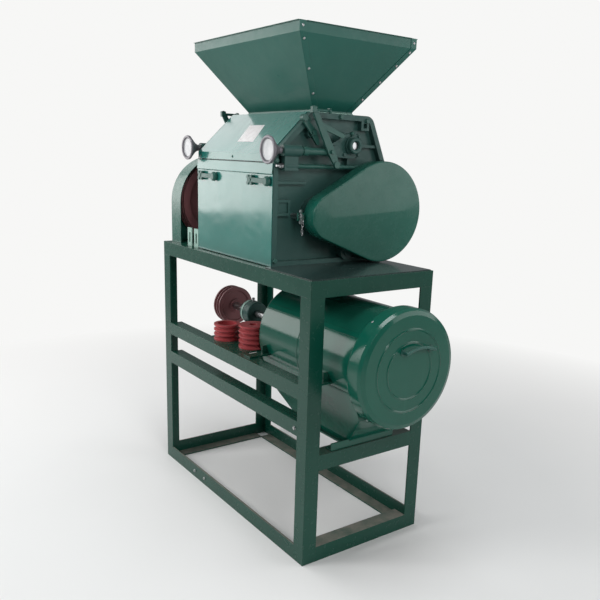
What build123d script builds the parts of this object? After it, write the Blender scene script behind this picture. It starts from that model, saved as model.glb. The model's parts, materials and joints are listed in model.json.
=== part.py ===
# Small roller flour mill on an angle-iron stand, with a round sieve hung below the table.
# Millimetres. +Z is up, -Y is the front with the latched panel, +X is the end with the gear guard.
# Sizes and places are worked out from the centre of the stand's feet, and the finished pieces are
# then moved so that the origin is on the floor under the middle of the whole machine.
import math
import os

from build123d import *

os.makedirs("parts", exist_ok=True)

# Stand
stand_length = 980.0
stand_depth = 475.0
stand_height = 890.0
angle_size = 50.0
mid_angle_size = 46.0
angle_thick = 5.0
shelf_rail_top = 575.0
lower_rail_top = 459.0
end_rail_top = 357.0
table_plate_thick = 3.0
table_plate_inset = 6.0
reach_centre_x = 85.0
reach_centre_y = 45.0

# Mill body
mill_width = 490.0
mill_centre_x = -9.0
casting_depth = 30.0
casting_web = 10.0
casting_rim = 17.0
sheet = 2.0
body_front_y = -206.5
cover_foot_z = stand_height + 339.0
top_front_y = -72.5
body_top_z = stand_height + 468.0
top_rear_y = 168.0
shoulder_y = 228.5
shoulder_z = stand_height + 332.0
rear_y = 287.5
rear_upper_z = stand_height + 202.0
rear_lower_z = stand_height + 115.0
rear_foot_y = 228.0
rear_corner_radius = 34.0

# Rolls and their gears
roll_diameter = 210.0
roll_length = 350.0
fast_y = -34.5
fast_z = stand_height + 156.0
roll_rise = 12.0
scraper_lean = 40.0
gear_module = 5.0
fast_teeth = 24
slow_teeth = 60
mesh_play = 0.34
gear_width = 40.0
shaft_radius = 25.0
shaft_end_radius = 21.0
running_clearance = 0.05
seat_clearance = 0.3

# Feed
feed_y = 80.0
feed_z = stand_height + 374.0
feed_roll_radius = 35.0
feed_shaft_radius = 12.0
feed_pulley_radius = 60.0
feed_drive_radius = 30.0
feed_drive_offset = 78.0
belt_thick = 4.0
belt_width = 24.0
gate_y = -70.0
gate_z = feed_z + 33.0
gate_shaft_radius = 8.0
cam_y = 10.0
cam_z = feed_z - 16.0

# Latches of the front panel
latch_left_x = -217.0
latch_right_x = 118.0
latch_z = stand_height + 260.0
latch_reach = 96.0
tongue_reach = 46.0
tongue_half = 6.0
latch_stand_off = 4.5

# Hopper
hopper_y = 38.5
hopper_top_x = 636.0
hopper_top_y = 442.0
hopper_foot_x = 382.0
hopper_foot_y = 154.0
hopper_top_z = body_top_z + 236.0
hopper_band = 30.0
hopper_sheet = 1.5
hopper_lap = 22.0
hopper_seat_width = 22.0
seat_thick = 8.0

# Drive and guards
main_pulley_radius = 155.0
main_pulley_width = 64.0
main_pulley_face_x = -410.0
belt_pitch = 19.0
groove_depth = 13.0
belt_guard_radius = 172.0
belt_guard_rise = 152.0
belt_guard_left_x = -482.0
belt_guard_right_x = -404.0
gear_guard_large_radius = 161.5
gear_guard_small_radius = 71.5
gear_guard_back_x = 256.0
gear_guard_face_x = 312.0
gear_guard_crease = 8.0
guard_sheet = 1.5
slotted_bracket_xs = (-326.0, -274.0)

# Roll adjustment on each end of the mill
adjuster_offset = 18.0
adjuster_z = stand_height + 352.0
handwheel_radius = 41.5
handwheel_front_y = -243.0
spindle_radius = 6.0
rod_radius = 11.0
bracket_front_y = -190.0
bracket_back_y = -125.0
lever_pin_y = -19.0
lever_top_y = -90.0
lever_top_z = adjuster_z + 124.0
lever_foot_y = 2.0
lever_foot_z = adjuster_z - 38.0
lever_thick = 8.0
link_y = -64.0
link_z = adjuster_z + 79.0
arm_pivot_y = 75.0
arm_pivot_z = stand_height + 35.0
arm_pin_radius = 12.0
arm_top_y = 150.0
arm_top_z = adjuster_z - 46.0
arm_thick = 14.0
stop_rod_radius = 6.5
stop_rod_offset = 9.0
stop_rod_z = arm_top_z + 1.0

# Round sieve
drum_y = 18.5
drum_z = shelf_rail_top + 56.0
drum_radius = 168.0
drum_left_x = 70.0
drum_right_x = 590.0
drum_sheet = 2.0
ear_xs = (118.0, 462.0)
cap_radius = 184.0
cap_face_x = 636.0
cap_depth = 62.0
cap_lap = 14.0
outer_bead_radius = 125.0
inner_bead_radius = 86.0
handle_stand_off = 20.0
trough_half_width = 82.0
trough_foot_z = end_rail_top + 5.0
trough_left_x = 190.0
trough_right_x = 470.0
trough_bar_front_y = -139.0
trough_bar_height = 25.0
mouth_half = 118.0
screen_radius = 140.0
inlet_left_x = 84.0
inlet_right_x = 206.0
inlet_half = 60.0
sieve_shaft_radius = 15.0
sieve_shaft_left_x = -428.0
sieve_pulley_radius = 75.5
sieve_pulley_right_x = -378.0
bearing_left_x = -275.0
bearing_right_x = -210.0
bearing_radius = 44.0
crossbar_left_x = -188.0
crossbar_right_x = -135.0

# Loose belt pulleys on the shelf, each place as (x, y)
cup_place = (-123.5, -162.5)
solid_place = (14.0, -136.0)

# Values that follow from the ones above
guard_stay_y = fast_y - gear_guard_small_radius - 14.0
half_length = stand_length / 2
half_depth = stand_depth / 2
mill_left_x = mill_centre_x - mill_width / 2
mill_right_x = mill_centre_x + mill_width / 2
inner_left_x = mill_left_x + casting_depth
inner_right_x = mill_right_x - casting_depth
roll_radius = roll_diameter / 2
centre_distance = gear_module * (fast_teeth + slow_teeth) / 2 + mesh_play
slow_z = fast_z + roll_rise
slow_y = fast_y + math.sqrt(centre_distance ** 2 - roll_rise ** 2)
roll_left_x = mill_centre_x - roll_length / 2
roll_right_x = mill_centre_x + roll_length / 2
hopper_foot_z = body_top_z + 10.0


def block(xa, xb, ya, yb, za, zb):
    """Plain bar between two corners given in any order."""
    size = (abs(xb - xa), abs(yb - ya), abs(zb - za))
    centre = ((xa + xb) / 2, (ya + yb) / 2, (za + zb) / 2)
    return Pos(*centre) * Box(*size)


def rod_x(radius, xa, xb, y, z):
    return Pos((xa + xb) / 2, y, z) * Rot(0, 90, 0) * Cylinder(radius, abs(xb - xa))


def rod_y(radius, ya, yb, x, z):
    return Pos(x, (ya + yb) / 2, z) * Rot(90, 0, 0) * Cylinder(radius, abs(yb - ya))


def outline_yz(points):
    return make_face(Polyline(*[(0, y, z) for y, z in points], close=True))


def slab_x(face, xa, xb):
    """Face drawn in the YZ plane, made into a slab from xa to xb."""
    low = min(xa, xb)
    return Pos(low, 0, 0) * extrude(face, amount=abs(xb - xa), dir=(1, 0, 0))


def slab_z(points, za, zb):
    """Outline of (x, y) points made into a slab from za to zb."""
    face = make_face(Polyline(*[(x, y, min(za, zb)) for x, y in points], close=True))
    return extrude(face, amount=abs(zb - za), dir=(0, 0, 1))


def turned_x(points, y, z):
    """Profile of (x, radius) points turned about a line along X."""
    face = make_face(Polyline(*[(x, r, 0) for x, r in points], close=True))
    return Pos(0, y, z) * revolve(face, axis=Axis.X)


def turned_y(points, x, z):
    """Profile of (y, radius) points turned about a line along Y."""
    face = make_face(Polyline(*[(r, y, 0) for y, r in points], close=True))
    return Pos(x, 0, z) * revolve(face, axis=Axis.Y)


def turned_z(points, x, y):
    """Profile of (z, radius) points turned about a line along Z."""
    face = make_face(Polyline(*[(r, 0, z) for z, r in points], close=True))
    return Pos(x, y, 0) * revolve(face, axis=Axis.Z)


def hull_yz(circles):
    """Outline that wraps circles given as (y, z, radius), drawn in the YZ plane."""
    edges = []
    for y, z, radius in circles:
        edges += (Pos(0, y, z) * Rot(0, 90, 0) * Circle(radius)).edges()
    return Plane.YZ * make_hull([Plane.YZ.to_local_coords(edge) for edge in edges])


def bent_sheet(points, thick):
    """Outline of a folded sheet: the points given are one face, the other lies to their left."""
    other = []
    for i, (y, z) in enumerate(points):
        before = points[max(i - 1, 0)]
        after = points[min(i + 1, len(points) - 1)]
        normals = []
        for (ya, za), (yb, zb) in ((before, (y, z)), ((y, z), after)):
            run = math.hypot(yb - ya, zb - za)
            if run > 0:
                normals.append((-(zb - za) / run, (yb - ya) / run))
        ny = sum(n[0] for n in normals) / len(normals)
        nz = sum(n[1] for n in normals) / len(normals)
        grow = thick / (ny * ny + nz * nz)
        other.append((y + ny * grow, z + nz * grow))
    return outline_yz(points + other[::-1])


def rail_x(xa, xb, face_y, top_z, size, flange_top=True):
    """Angle bar along X: its upright flange lies on face_y and the other points inwards."""
    inward = 1 if face_y < 0 else -1
    flange_z = top_z if flange_top else top_z - size + angle_thick
    upright = block(xa, xb, face_y, face_y + inward * angle_thick, top_z - size, top_z)
    return upright + block(xa, xb, face_y, face_y + inward * size, flange_z - angle_thick, flange_z)


def rail_y(ya, yb, face_x, top_z, size, flange_top=True):
    """Angle bar along Y: its upright flange lies on face_x and the other points inwards."""
    inward = 1 if face_x < 0 else -1
    flange_z = top_z if flange_top else top_z - size + angle_thick
    upright = block(face_x, face_x + inward * angle_thick, ya, yb, top_z - size, top_z)
    return upright + block(face_x, face_x + inward * size, ya, yb, flange_z - angle_thick, flange_z)


def stand_leg(side_x, side_y):
    """Leg with its corner outwards, standing under the top ring."""
    x, y = side_x * half_length, side_y * half_depth
    top = stand_height - angle_size
    front = block(x, x - side_x * angle_size, y, y - side_y * angle_thick, 0, top)
    return front + block(x, x - side_x * angle_thick, y, y - side_y * angle_size, 0, top)


def make_stand():
    parts = {}
    for side_y, depth_name in ((-1, "front"), (1, "back")):
        for side_x, end_name in ((-1, "left"), (1, "right")):
            parts[f"leg_{depth_name}_{end_name}"] = stand_leg(side_x, side_y)

    low = stand_height - angle_size
    for side, name in ((-1, "front"), (1, "back")):
        corner = [(-half_length, side * half_depth), (half_length, side * half_depth),
                  (half_length - angle_size, side * (half_depth - angle_size)),
                  (-half_length + angle_size, side * (half_depth - angle_size))]
        bar = rail_x(-half_length, half_length, side * half_depth, stand_height, angle_size)
        parts[f"top_rail_{name}"] = bar & slab_z(corner, low, stand_height)
    for side, name in ((-1, "left"), (1, "right")):
        corner = [(side * half_length, -half_depth), (side * half_length, half_depth),
                  (side * (half_length - angle_size), half_depth - angle_size),
                  (side * (half_length - angle_size), -half_depth + angle_size)]
        bar = rail_y(-half_depth, half_depth, side * half_length, stand_height, angle_size)
        parts[f"top_rail_{name}"] = bar & slab_z(corner, low, stand_height)

    run_x = half_length - angle_size
    run_y = half_depth - angle_size
    front = [rail_x(-run_x, run_x, -half_depth, top, mid_angle_size)
             for top in (shelf_rail_top, lower_rail_top)]
    parts["front_rails"] = Compound(children=front)
    parts["shelf_rail_back"] = rail_x(-run_x, run_x, half_depth, shelf_rail_top, mid_angle_size)
    parts["end_rail_right"] = rail_y(-run_y, run_y, half_length, end_rail_top, angle_size)

    base = [rail_x(-run_x, run_x, -half_depth, angle_size, angle_size, flange_top=False),
            rail_x(-run_x, run_x, half_depth, angle_size, angle_size, flange_top=False),
            rail_y(-run_y, run_y, -half_length, angle_size, angle_size, flange_top=False),
            rail_y(-run_y, run_y, half_length, angle_size, angle_size)]
    parts["base_rails"] = Compound(children=base)

    parts["table_plate"] = block(mill_right_x + 1, half_length - table_plate_inset,
                                 -half_depth + table_plate_inset, half_depth - table_plate_inset,
                                 stand_height, stand_height + table_plate_thick)
    bearers = [rail_y(-run_y, run_y, mill_left_x + 14 - angle_size, stand_height, angle_size),
               rail_y(-run_y, run_y, mill_right_x - 14 + angle_size, stand_height, angle_size)]
    parts["mill_bearers"] = Compound(children=bearers)
    return parts


def make_shelf():
    """Cross bar between the shelf rails, with the plate that the loose pulleys stand on."""
    rail_edge_y = half_depth - mid_angle_size
    top = shelf_rail_top
    plate_thick = 5.0
    crossbar = block(crossbar_left_x, crossbar_right_x, -rail_edge_y, rail_edge_y, top - plate_thick, top)
    for x in (crossbar_left_x, crossbar_right_x - angle_thick):
        crossbar += block(x, x + angle_thick, -rail_edge_y, rail_edge_y, top - mid_angle_size, top)
    plate = block(crossbar_right_x, drum_left_x - 4, -rail_edge_y, -60.0, top - plate_thick, top)
    ledge = block(bearing_left_x - 4, crossbar_left_x, drum_y - 58, drum_y + 58, top - 10.0, top)
    return {"shelf_bars": Compound(children=[crossbar, plate, ledge])}


def body_outline():
    """Side of the mill as a face: upright front, sloped shoulder and bulged back."""
    points = [(body_front_y, stand_height), (body_front_y, cover_foot_z), (top_front_y, body_top_z),
              (top_rear_y, body_top_z), (shoulder_y, shoulder_z), (rear_y, rear_upper_z),
              (rear_y, rear_lower_z), (rear_foot_y, stand_height)]
    face = outline_yz(points)
    rear_corner = face.vertices().sort_by_distance((0, top_rear_y, body_top_z))[0]
    return fillet(rear_corner, rear_corner_radius)


def side_frame(side):
    """Ribbed end casting. side is -1 for the left end and 1 for the right end."""
    inner = inner_right_x if side > 0 else inner_left_x
    outer = inner + side * casting_depth
    web = inner + side * casting_web
    outline = body_outline()
    recess = offset(outline, -casting_rim, kind=Kind.INTERSECTION)
    casting = slab_x(outline, inner, outer) - slab_x(recess, web, outer + side)

    rib = 9.0
    rib_top = inner + side * (casting_depth - 5)
    shoulder_inner = shoulder_y - 12
    casting += block(web, rib_top, feed_y + 30, shoulder_inner - 14, feed_z - rib / 2, feed_z + rib / 2)
    casting += block(web, rib_top, body_front_y + 8, fast_y - 50, fast_z + 96, fast_z + 96 + rib)
    casting += block(web, rib_top, feed_y - rib / 2, feed_y + rib / 2, fast_z + 150, feed_z - 30)
    casting += block(web, rib_top, fast_y + 104, fast_y + 104 + rib, stand_height + 8, slow_z - 86)

    casting += rod_x(60.0, inner, outer, fast_y, fast_z)
    casting += rod_x(64.0, inner, inner + side * 20, slow_y, slow_z)
    casting += rod_x(34.0, inner, outer, feed_y, feed_z)
    casting += rod_x(16.0, inner, outer, gate_y, gate_z)
    casting += rod_x(22.0, inner, outer, arm_pivot_y, arm_pivot_z)

    pad_y, pad_z, pad_w, pad_h = body_front_y + 41.5, fast_z + 25, 51.0, 49.0
    casting += block(web, rib_top, pad_y - pad_w / 2, pad_y + pad_w / 2, pad_z - pad_h / 2, pad_z + pad_h / 2)
    casting -= block(rib_top - side * 6, outer, pad_y - 17, pad_y + 17, pad_z - 16, pad_z + 16)
    lug_y, lug_z = top_rear_y - 28, body_top_z - 31
    lug = block(web, outer, lug_y - 16, lug_y + 16, lug_z - 15, lug_z + 15)
    casting += lug
    casting -= block(outer - side * 12, outer + side, lug_y - 7, lug_y + 7, lug_z - 7, lug_z + 7)

    casting -= rod_x(48.0, inner - side, outer + side, fast_y, fast_z)
    casting -= rod_x(shaft_radius + 6, inner - side, outer + side, slow_y, slow_z)
    casting -= rod_x(feed_shaft_radius + running_clearance, inner - side, outer + side, feed_y, feed_z)
    casting -= rod_x(gate_shaft_radius + running_clearance, inner - side, outer + side, gate_y, gate_z)
    pin_end = outer + side * (arm_thick + 3)
    casting += rod_x(arm_pin_radius, inner + side * 4, pin_end, arm_pivot_y, arm_pivot_z)
    return casting


def make_body():
    parts = {"side_frame_left": side_frame(-1), "side_frame_right": side_frame(1)}

    seat = []
    half_x, half_y = hopper_foot_x / 2, hopper_foot_y / 2
    seat_low = body_top_z - seat_thick
    for side in (-1, 1):
        seat.append(block(inner_left_x, inner_right_x, hopper_y + side * half_y,
                          hopper_y + side * (half_y + hopper_seat_width), seat_low, body_top_z))
        inner = inner_right_x if side > 0 else inner_left_x
        seat.append(block(inner, side * half_x, hopper_y - half_y, hopper_y + half_y, seat_low, body_top_z))

    tie_z = latch_z + 52
    left, right = inner_left_x, inner_right_x
    ties = [block(left, right, body_front_y + 3, body_front_y + 13, tie_z - 15, tie_z + 15),
            block(left, right, top_front_y, top_front_y + 10, body_top_z - 24, body_top_z),
            block(left, right, body_front_y + 4, body_front_y + 24, stand_height, stand_height + 14)]
    parts["cross_bars"] = Compound(children=seat + ties)

    rear = [(rear_foot_y, stand_height + 0.5), (rear_y, rear_lower_z), (rear_y, rear_upper_z),
            (shoulder_y, shoulder_z), (top_rear_y - 3, body_top_z - 20),
            (top_rear_y - 26, body_top_z - sheet),
            (hopper_y + half_y + hopper_seat_width, body_top_z - sheet)]
    parts["rear_panel"] = slab_x(bent_sheet(rear, sheet), inner_left_x, inner_right_x)

    band_z = latch_z + 21
    panel_top = latch_z + 53
    front = [(body_front_y, stand_height + 3), (body_front_y, band_z - 1),
             (body_front_y - 3, band_z + 2), (body_front_y, panel_top)]
    panel = slab_x(bent_sheet(front, sheet), mill_left_x - 1, mill_right_x - 2)
    for x in (latch_left_x, latch_right_x):
        panel -= rod_y(spindle_radius + running_clearance, body_front_y - 9, body_front_y + 6, x, latch_z)
    parts["front_panel"] = panel

    lip_z = cover_foot_z - 22
    lap_y = hopper_y - half_y - hopper_seat_width
    cover = [(body_front_y, lip_z), (body_front_y, cover_foot_z),
             (top_front_y, body_top_z), (lap_y, body_top_z)]
    parts["front_cover"] = slab_x(bent_sheet(cover, sheet), mill_left_x + 8, mill_right_x - 24)
    return parts


def make_latch(x):
    """Star knob and bar outside the panel, spindle through it and tongue behind it."""
    face = body_front_y - sheet
    knob = rod_y(9.0, face - 14, face - 2, x, latch_z)
    for k in range(4):
        turn = math.radians(45 + 90 * k)
        knob += rod_y(6.0, face - 13, face - 4, x + 13 * math.cos(turn), latch_z + 13 * math.sin(turn))
        spoke = Pos(x, face - 8, latch_z) * Rot(0, -math.degrees(turn), 0) * Pos(6, 0, 0) * Box(12, 8, 7)
        knob += spoke
    back = face - latch_stand_off
    bar = block(x, x + latch_reach - 10, back - 8, back, latch_z - 7, latch_z + 7)
    pad = turned_y([(back, 0), (back, 15), (back - 7, 15), (back - 12, 11), (back - 12, 0)],
                   x + latch_reach, latch_z)
    spindle = rod_y(spindle_radius, face - 4, body_front_y + 18, x, latch_z)
    tongue = block(x, x + tongue_reach, body_front_y + 14, body_front_y + 18,
                   latch_z - tongue_half, latch_z + tongue_half)
    return knob + bar + pad + spindle + tongue


def funnel_walls(centre_low, half_low, z_low, centre_high, half_high, z_high, thick):
    """Four flat walls of a square funnel, mitred along its corners: front, right, back and left."""
    def ring(grow):
        low = [(centre_low[0] + sx * (half_low[0] + grow), centre_low[1] + sy * (half_low[1] + grow), z_low)
               for sx, sy in ((-1, -1), (1, -1), (1, 1), (-1, 1))]
        high = [(centre_high[0] + sx * (half_high[0] + grow), centre_high[1] + sy * (half_high[1] + grow),
                 z_high) for sx, sy in ((-1, -1), (1, -1), (1, 1), (-1, 1))]
        return low, high

    inner_low, inner_high = ring(0.0)
    outer_low, outer_high = ring(thick)
    walls = []
    for k in range(4):
        n = (k + 1) % 4
        low = make_face(Polyline(inner_low[k], inner_low[n], outer_low[n], outer_low[k], close=True))
        high = make_face(Polyline(inner_high[k], inner_high[n], outer_high[n], outer_high[k], close=True))
        walls.append(Solid.make_loft([low.wires()[0], high.wires()[0]], ruled=True))
    return walls


def slab_between(low, high):
    """Slab whose ends are the level rectangles low and high, each (xa, xb, ya, yb, z)."""
    wires = []
    for xa, xb, ya, yb, z in (low, high):
        wires.append(Polyline((xa, ya, z), (xb, ya, z), (xb, yb, z), (xa, yb, z), close=True).wire())
    return Solid.make_loft(wires, ruled=True)


def hopper_sheet_stack(outline):
    """One sheet of the hopper from its collar to its rim. outline gives its plan for a half size."""
    low = (hopper_foot_x / 2, hopper_foot_y / 2)
    high = (hopper_top_x / 2, hopper_top_y / 2)
    levels = [(low, body_top_z), (low, hopper_foot_z), (high, hopper_top_z - hopper_band),
              (high, hopper_top_z)]
    stack = None
    for (half_a, z_a), (half_b, z_b) in zip(levels, levels[1:]):
        piece = slab_between((*outline(*half_a), z_a), (*outline(*half_b), z_b))
        stack = piece if stack is None else stack + piece
    return stack


def make_hopper():
    """Four sheets: the front and back ones lap round onto the end ones, where they are screwed."""
    t = hopper_sheet
    lean = (hopper_top_x - hopper_foot_x) / 2 / (hopper_top_z - hopper_band - hopper_foot_z)
    lap_thick = t * math.sqrt(1 + lean ** 2)
    rim_x = hopper_top_x / 2 + t
    rim_y = hopper_top_y / 2 + t
    lip = 5.0
    low, high = hopper_top_z - t, hopper_top_z
    sheets = []
    for side in (-1, 1):
        wide = hopper_sheet_stack(lambda hx, hy: (-hx - t, hx + t, hopper_y + side * hy,
                                                  hopper_y + side * (hy + t)))
        for end in (-1, 1):
            wide += hopper_sheet_stack(lambda hx, hy: (end * (hx + t), end * (hx + t + lap_thick),
                                                       hopper_y + side * (hy + t),
                                                       hopper_y + side * (hy + t - hopper_lap)))
        wide += block(-rim_x, rim_x, hopper_y + side * rim_y, hopper_y + side * (rim_y + lip), low, high)
        sheets.append(wide)
        narrow = hopper_sheet_stack(lambda hx, hy: (side * hx, side * (hx + t),
                                                    hopper_y - hy, hopper_y + hy))
        edge = rim_y - t - hopper_lap
        narrow += block(side * rim_x, side * (rim_x + lip), hopper_y - edge, hopper_y + edge, low, high)
        sheets.append(narrow)
    return {"hopper_panels": Compound(children=sheets)}


def gear_outline(teeth, phase):
    """Spur gear as (y, z) points about its centre, with involute flanks and a little backlash."""
    pitch = gear_module * teeth / 2
    base = pitch * math.cos(math.radians(20))
    tip = pitch + gear_module
    root = pitch - 1.25 * gear_module
    start = max(base, root)

    def involute(radius):
        turn = math.acos(min(1.0, base / radius))
        return math.tan(turn) - turn

    half = math.pi / (2 * teeth) - 0.15 / pitch
    flank_radii = [start + (tip - start) * k / 3 for k in range(4)]
    flank = [(r, half + involute(pitch) - involute(r)) for r in flank_radii]
    points = []
    for tooth in range(teeth):
        centre = phase + 2 * math.pi * tooth / teeth
        rising = [(r, centre - a) for r, a in flank]
        falling = [(r, centre + a) for r, a in reversed(flank)]
        foot = [(root, centre - flank[0][1])] if root < start else []
        heel = [(root, centre + flank[0][1])] if root < start else []
        points += foot + rising + falling + heel
    return [(r * math.cos(a), r * math.sin(a)) for r, a in points]


def gear(teeth, y, z, phase, hub_radius):
    """Gear on the end of a roll shaft, with a hub and a thinner web."""
    left = gear_guard_back_x + 6
    right = left + gear_width
    face = outline_yz([(y + dy, z + dz) for dy, dz in gear_outline(teeth, phase)])
    wheel = slab_x(face, left, right)
    rim = gear_module * teeth / 2 - 14
    if rim > hub_radius + 20:
        for xa, xb in ((left - 1, left + 12), (right - 12, right + 1)):
            wheel -= rod_x(rim, xa, xb, y, z)
        wheel += rod_x(hub_radius, left, right, y, z)
    return wheel - rod_x(shaft_end_radius + 0.02, left - 1, right + 1, y, z)


def roll(y, z, left_end_x, step_left_x):
    """Grinding roll with its journals turned in one piece."""
    chamfer = 3.0
    gear_start = gear_guard_back_x + 4
    gear_end = gear_guard_back_x + 6 + gear_width + 3
    return turned_x([(left_end_x, 0), (left_end_x, shaft_end_radius), (step_left_x, shaft_end_radius),
                     (step_left_x, shaft_radius), (roll_left_x - 8, shaft_radius), (roll_left_x - 8, 42),
                     (roll_left_x, 42), (roll_left_x, roll_radius - chamfer),
                     (roll_left_x + chamfer, roll_radius), (roll_right_x - chamfer, roll_radius),
                     (roll_right_x, roll_radius - chamfer), (roll_right_x, 42), (roll_right_x + 8, 42),
                     (roll_right_x + 8, shaft_radius), (gear_start, shaft_radius),
                     (gear_start, shaft_end_radius), (gear_end, shaft_end_radius), (gear_end, 0)], y, z)


def grooved_rim(left, count, radius, start_offset):
    """Rim profile with V grooves, as (x, radius) points from left to right."""
    points = []
    half_top, half_floor = 7.5, 3.6
    for k in range(count):
        centre = left + start_offset + belt_pitch * k
        points += [(centre - half_top, radius), (centre - half_floor, radius - groove_depth),
                   (centre + half_floor, radius - groove_depth), (centre + half_top, radius)]
    return points


def make_main_pulley():
    """Cast pulley on the fast roll: grooved rim, thin web and hub."""
    right = main_pulley_face_x
    left = right - main_pulley_width
    radius = main_pulley_radius
    bore = shaft_end_radius + 0.02
    rim_in = radius - 30
    web_left, web_right = left + 24, right - 10
    hub = 42.0
    profile = [(left, radius)] + grooved_rim(left, 3, radius, (main_pulley_width - 2 * belt_pitch) / 2)
    profile += [(right, radius), (right, rim_in + 4), (web_right, rim_in), (web_right, hub), (right, hub - 2),
                (right, bore), (left, bore), (left, hub - 2), (web_left, hub), (web_left, rim_in),
                (left, rim_in + 4)]
    return turned_x(profile, fast_y, fast_z)


def make_rolls():
    slow_dir = math.atan2(slow_z - fast_z, slow_y - fast_y)
    slow_phase = slow_dir + math.pi + math.pi / slow_teeth
    feed_left = mill_left_x - feed_drive_offset
    parts = {
        "fast_roll": roll(fast_y, fast_z, main_pulley_face_x - main_pulley_width - 2, mill_left_x - 18),
        "slow_roll": roll(slow_y, slow_z, mill_left_x - arm_thick - 4, mill_left_x - arm_thick - 3),
        "fast_gear": gear(fast_teeth, fast_y, fast_z, slow_dir, 30.0),
        "slow_gear": gear(slow_teeth, slow_y, slow_z, slow_phase, 48.0),
        "main_pulley": make_main_pulley(),
        "feed_drive_pulley": feed_wheel(feed_left, fast_y, fast_z, feed_drive_radius, shaft_end_radius),
        "feed_pulley": feed_wheel(feed_left, feed_y, feed_z, feed_pulley_radius, feed_shaft_radius),
    }

    bearings = []
    for side, inner, outer in ((-1, inner_left_x, mill_left_x), (1, inner_right_x, mill_right_x)):
        barrel = rod_x(48.0 - seat_clearance, inner, outer, fast_y, fast_z)
        flange = rod_x(58.0, outer, outer + side * 10, fast_y, fast_z)
        flange += rod_x(44.0, outer, outer + side * 15, fast_y, fast_z)
        bore = rod_x(shaft_radius + running_clearance, inner - side, outer + side * 16, fast_y, fast_z)
        bearings.append(barrel + flange - bore)
        plate = hull_yz([(feed_y, feed_z, 40.0), (cam_y, cam_z, 20.0)])
        housing = slab_x(plate, outer, outer + side * 8)
        housing += rod_x(28.0, outer, outer + side * 17, feed_y, feed_z)
        for turn in (45, 135, 225, 315):
            y = feed_y + 40 * math.cos(math.radians(turn))
            z = feed_z + 40 * math.sin(math.radians(turn))
            housing += rod_x(9.0, outer, outer + side * 8, y, z) + rod_x(5.0, outer, outer + side * 13, y, z)
        housing += rod_x(14.0, outer, outer + side * 20, cam_y, cam_z)
        bore = rod_x(feed_shaft_radius + running_clearance, outer - side, outer + side * 18, feed_y, feed_z)
        bearings.append(housing - bore)
    parts["bearing_housings"] = Compound(children=bearings)

    shaft_right = mill_right_x + 24
    feed = turned_x([(feed_left - 2, 0), (feed_left - 2, feed_shaft_radius), (roll_left_x, feed_shaft_radius),
                     (roll_left_x, feed_roll_radius), (roll_right_x, feed_roll_radius),
                     (roll_right_x, feed_shaft_radius), (shaft_right, feed_shaft_radius), (shaft_right, 0)],
                    feed_y, feed_z)
    for k in range(8):
        turn = math.tau * k / 8
        feed -= rod_x(5.0, roll_left_x - 1, roll_right_x + 1, feed_y + feed_roll_radius * math.cos(turn),
                      feed_z + feed_roll_radius * math.sin(turn))
    parts["feed_roll"] = feed

    loops = []
    for grow in (seat_clearance, seat_clearance + belt_thick):
        loops.append(hull_yz([(fast_y, fast_z, feed_drive_radius + grow),
                              (feed_y, feed_z, feed_pulley_radius + grow)]))
    wide = slab_x(loops[1], feed_left + 2, feed_left + 2 + belt_width)
    parts["feed_belt"] = wide - slab_x(loops[0], feed_left, feed_left + 4 + belt_width)

    flap_tip = feed_y - feed_roll_radius - 4
    gate = rod_x(gate_shaft_radius, inner_left_x - casting_depth, mill_right_x + 16, gate_y, gate_z)
    flap = bent_sheet([(gate_y + 2, gate_z - 8), (flap_tip, feed_z + 2)], 3.0)
    gate += slab_x(flap, roll_left_x, roll_right_x)
    for y, z in ((gate_y - 40, gate_z + 42), (gate_y + 16, gate_z - 30)):
        gate += slab_x(hull_yz([(gate_y, gate_z, 11.0), (y, z, 7.0)]), mill_right_x + 4, mill_right_x + 12)
    gate += rod_x(10.0, mill_right_x + 4, mill_right_x + 22, gate_y - 40, gate_z + 42)
    parts["feed_gate"] = gate

    scrapers = []
    top = -roll_radius - seat_clearance
    for y, z, lean in ((fast_y, fast_z, 0.0), (slow_y, slow_z, -scraper_lean)):
        back = block(inner_left_x, inner_right_x, -14, 14, top - 24, top - 10)
        scraper = back + block(roll_left_x, roll_right_x, -5, 5, top - 10, top)
        scrapers += (Pos(0, y, z) * Rot(lean, 0, 0) * scraper).solids()
    parts["roll_scrapers"] = Compound(children=scrapers)
    return parts


def feed_wheel(left, y, z, radius, bore):
    """Flat pulley with low flanges for the feed belt."""
    right = left + belt_width + 4
    flange = radius + 6 if radius < 50 else radius + 5
    hole = bore + 0.02
    return turned_x([(left, hole), (left, flange), (left + 1.7, flange), (left + 1.7, radius),
                     (right - 1.7, radius), (right - 1.7, flange), (right, flange), (right, hole)], y, z)


def roll_arm(side):
    """Swinging arm that carries one end of the slow roll on the outside of the casting."""
    inner = (mill_right_x if side > 0 else mill_left_x) + side * 2
    outer = inner + side * (arm_thick - 2)
    lower = hull_yz([(arm_pivot_y, arm_pivot_z, 24.0), (slow_y, slow_z, 46.0)])
    upper = hull_yz([(slow_y, slow_z, 40.0), (arm_top_y, arm_top_z, 16.0)])
    arm = slab_x(lower, inner, outer) + slab_x(upper, inner, outer)
    arm -= rod_x(arm_pin_radius + running_clearance, inner - side, outer + side, arm_pivot_y, arm_pivot_z)
    return arm - rod_x(shaft_radius + running_clearance, inner - side, outer + side, slow_y, slow_z)


def adjuster_x(side):
    return (mill_right_x if side > 0 else mill_left_x) + side * adjuster_offset


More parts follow.
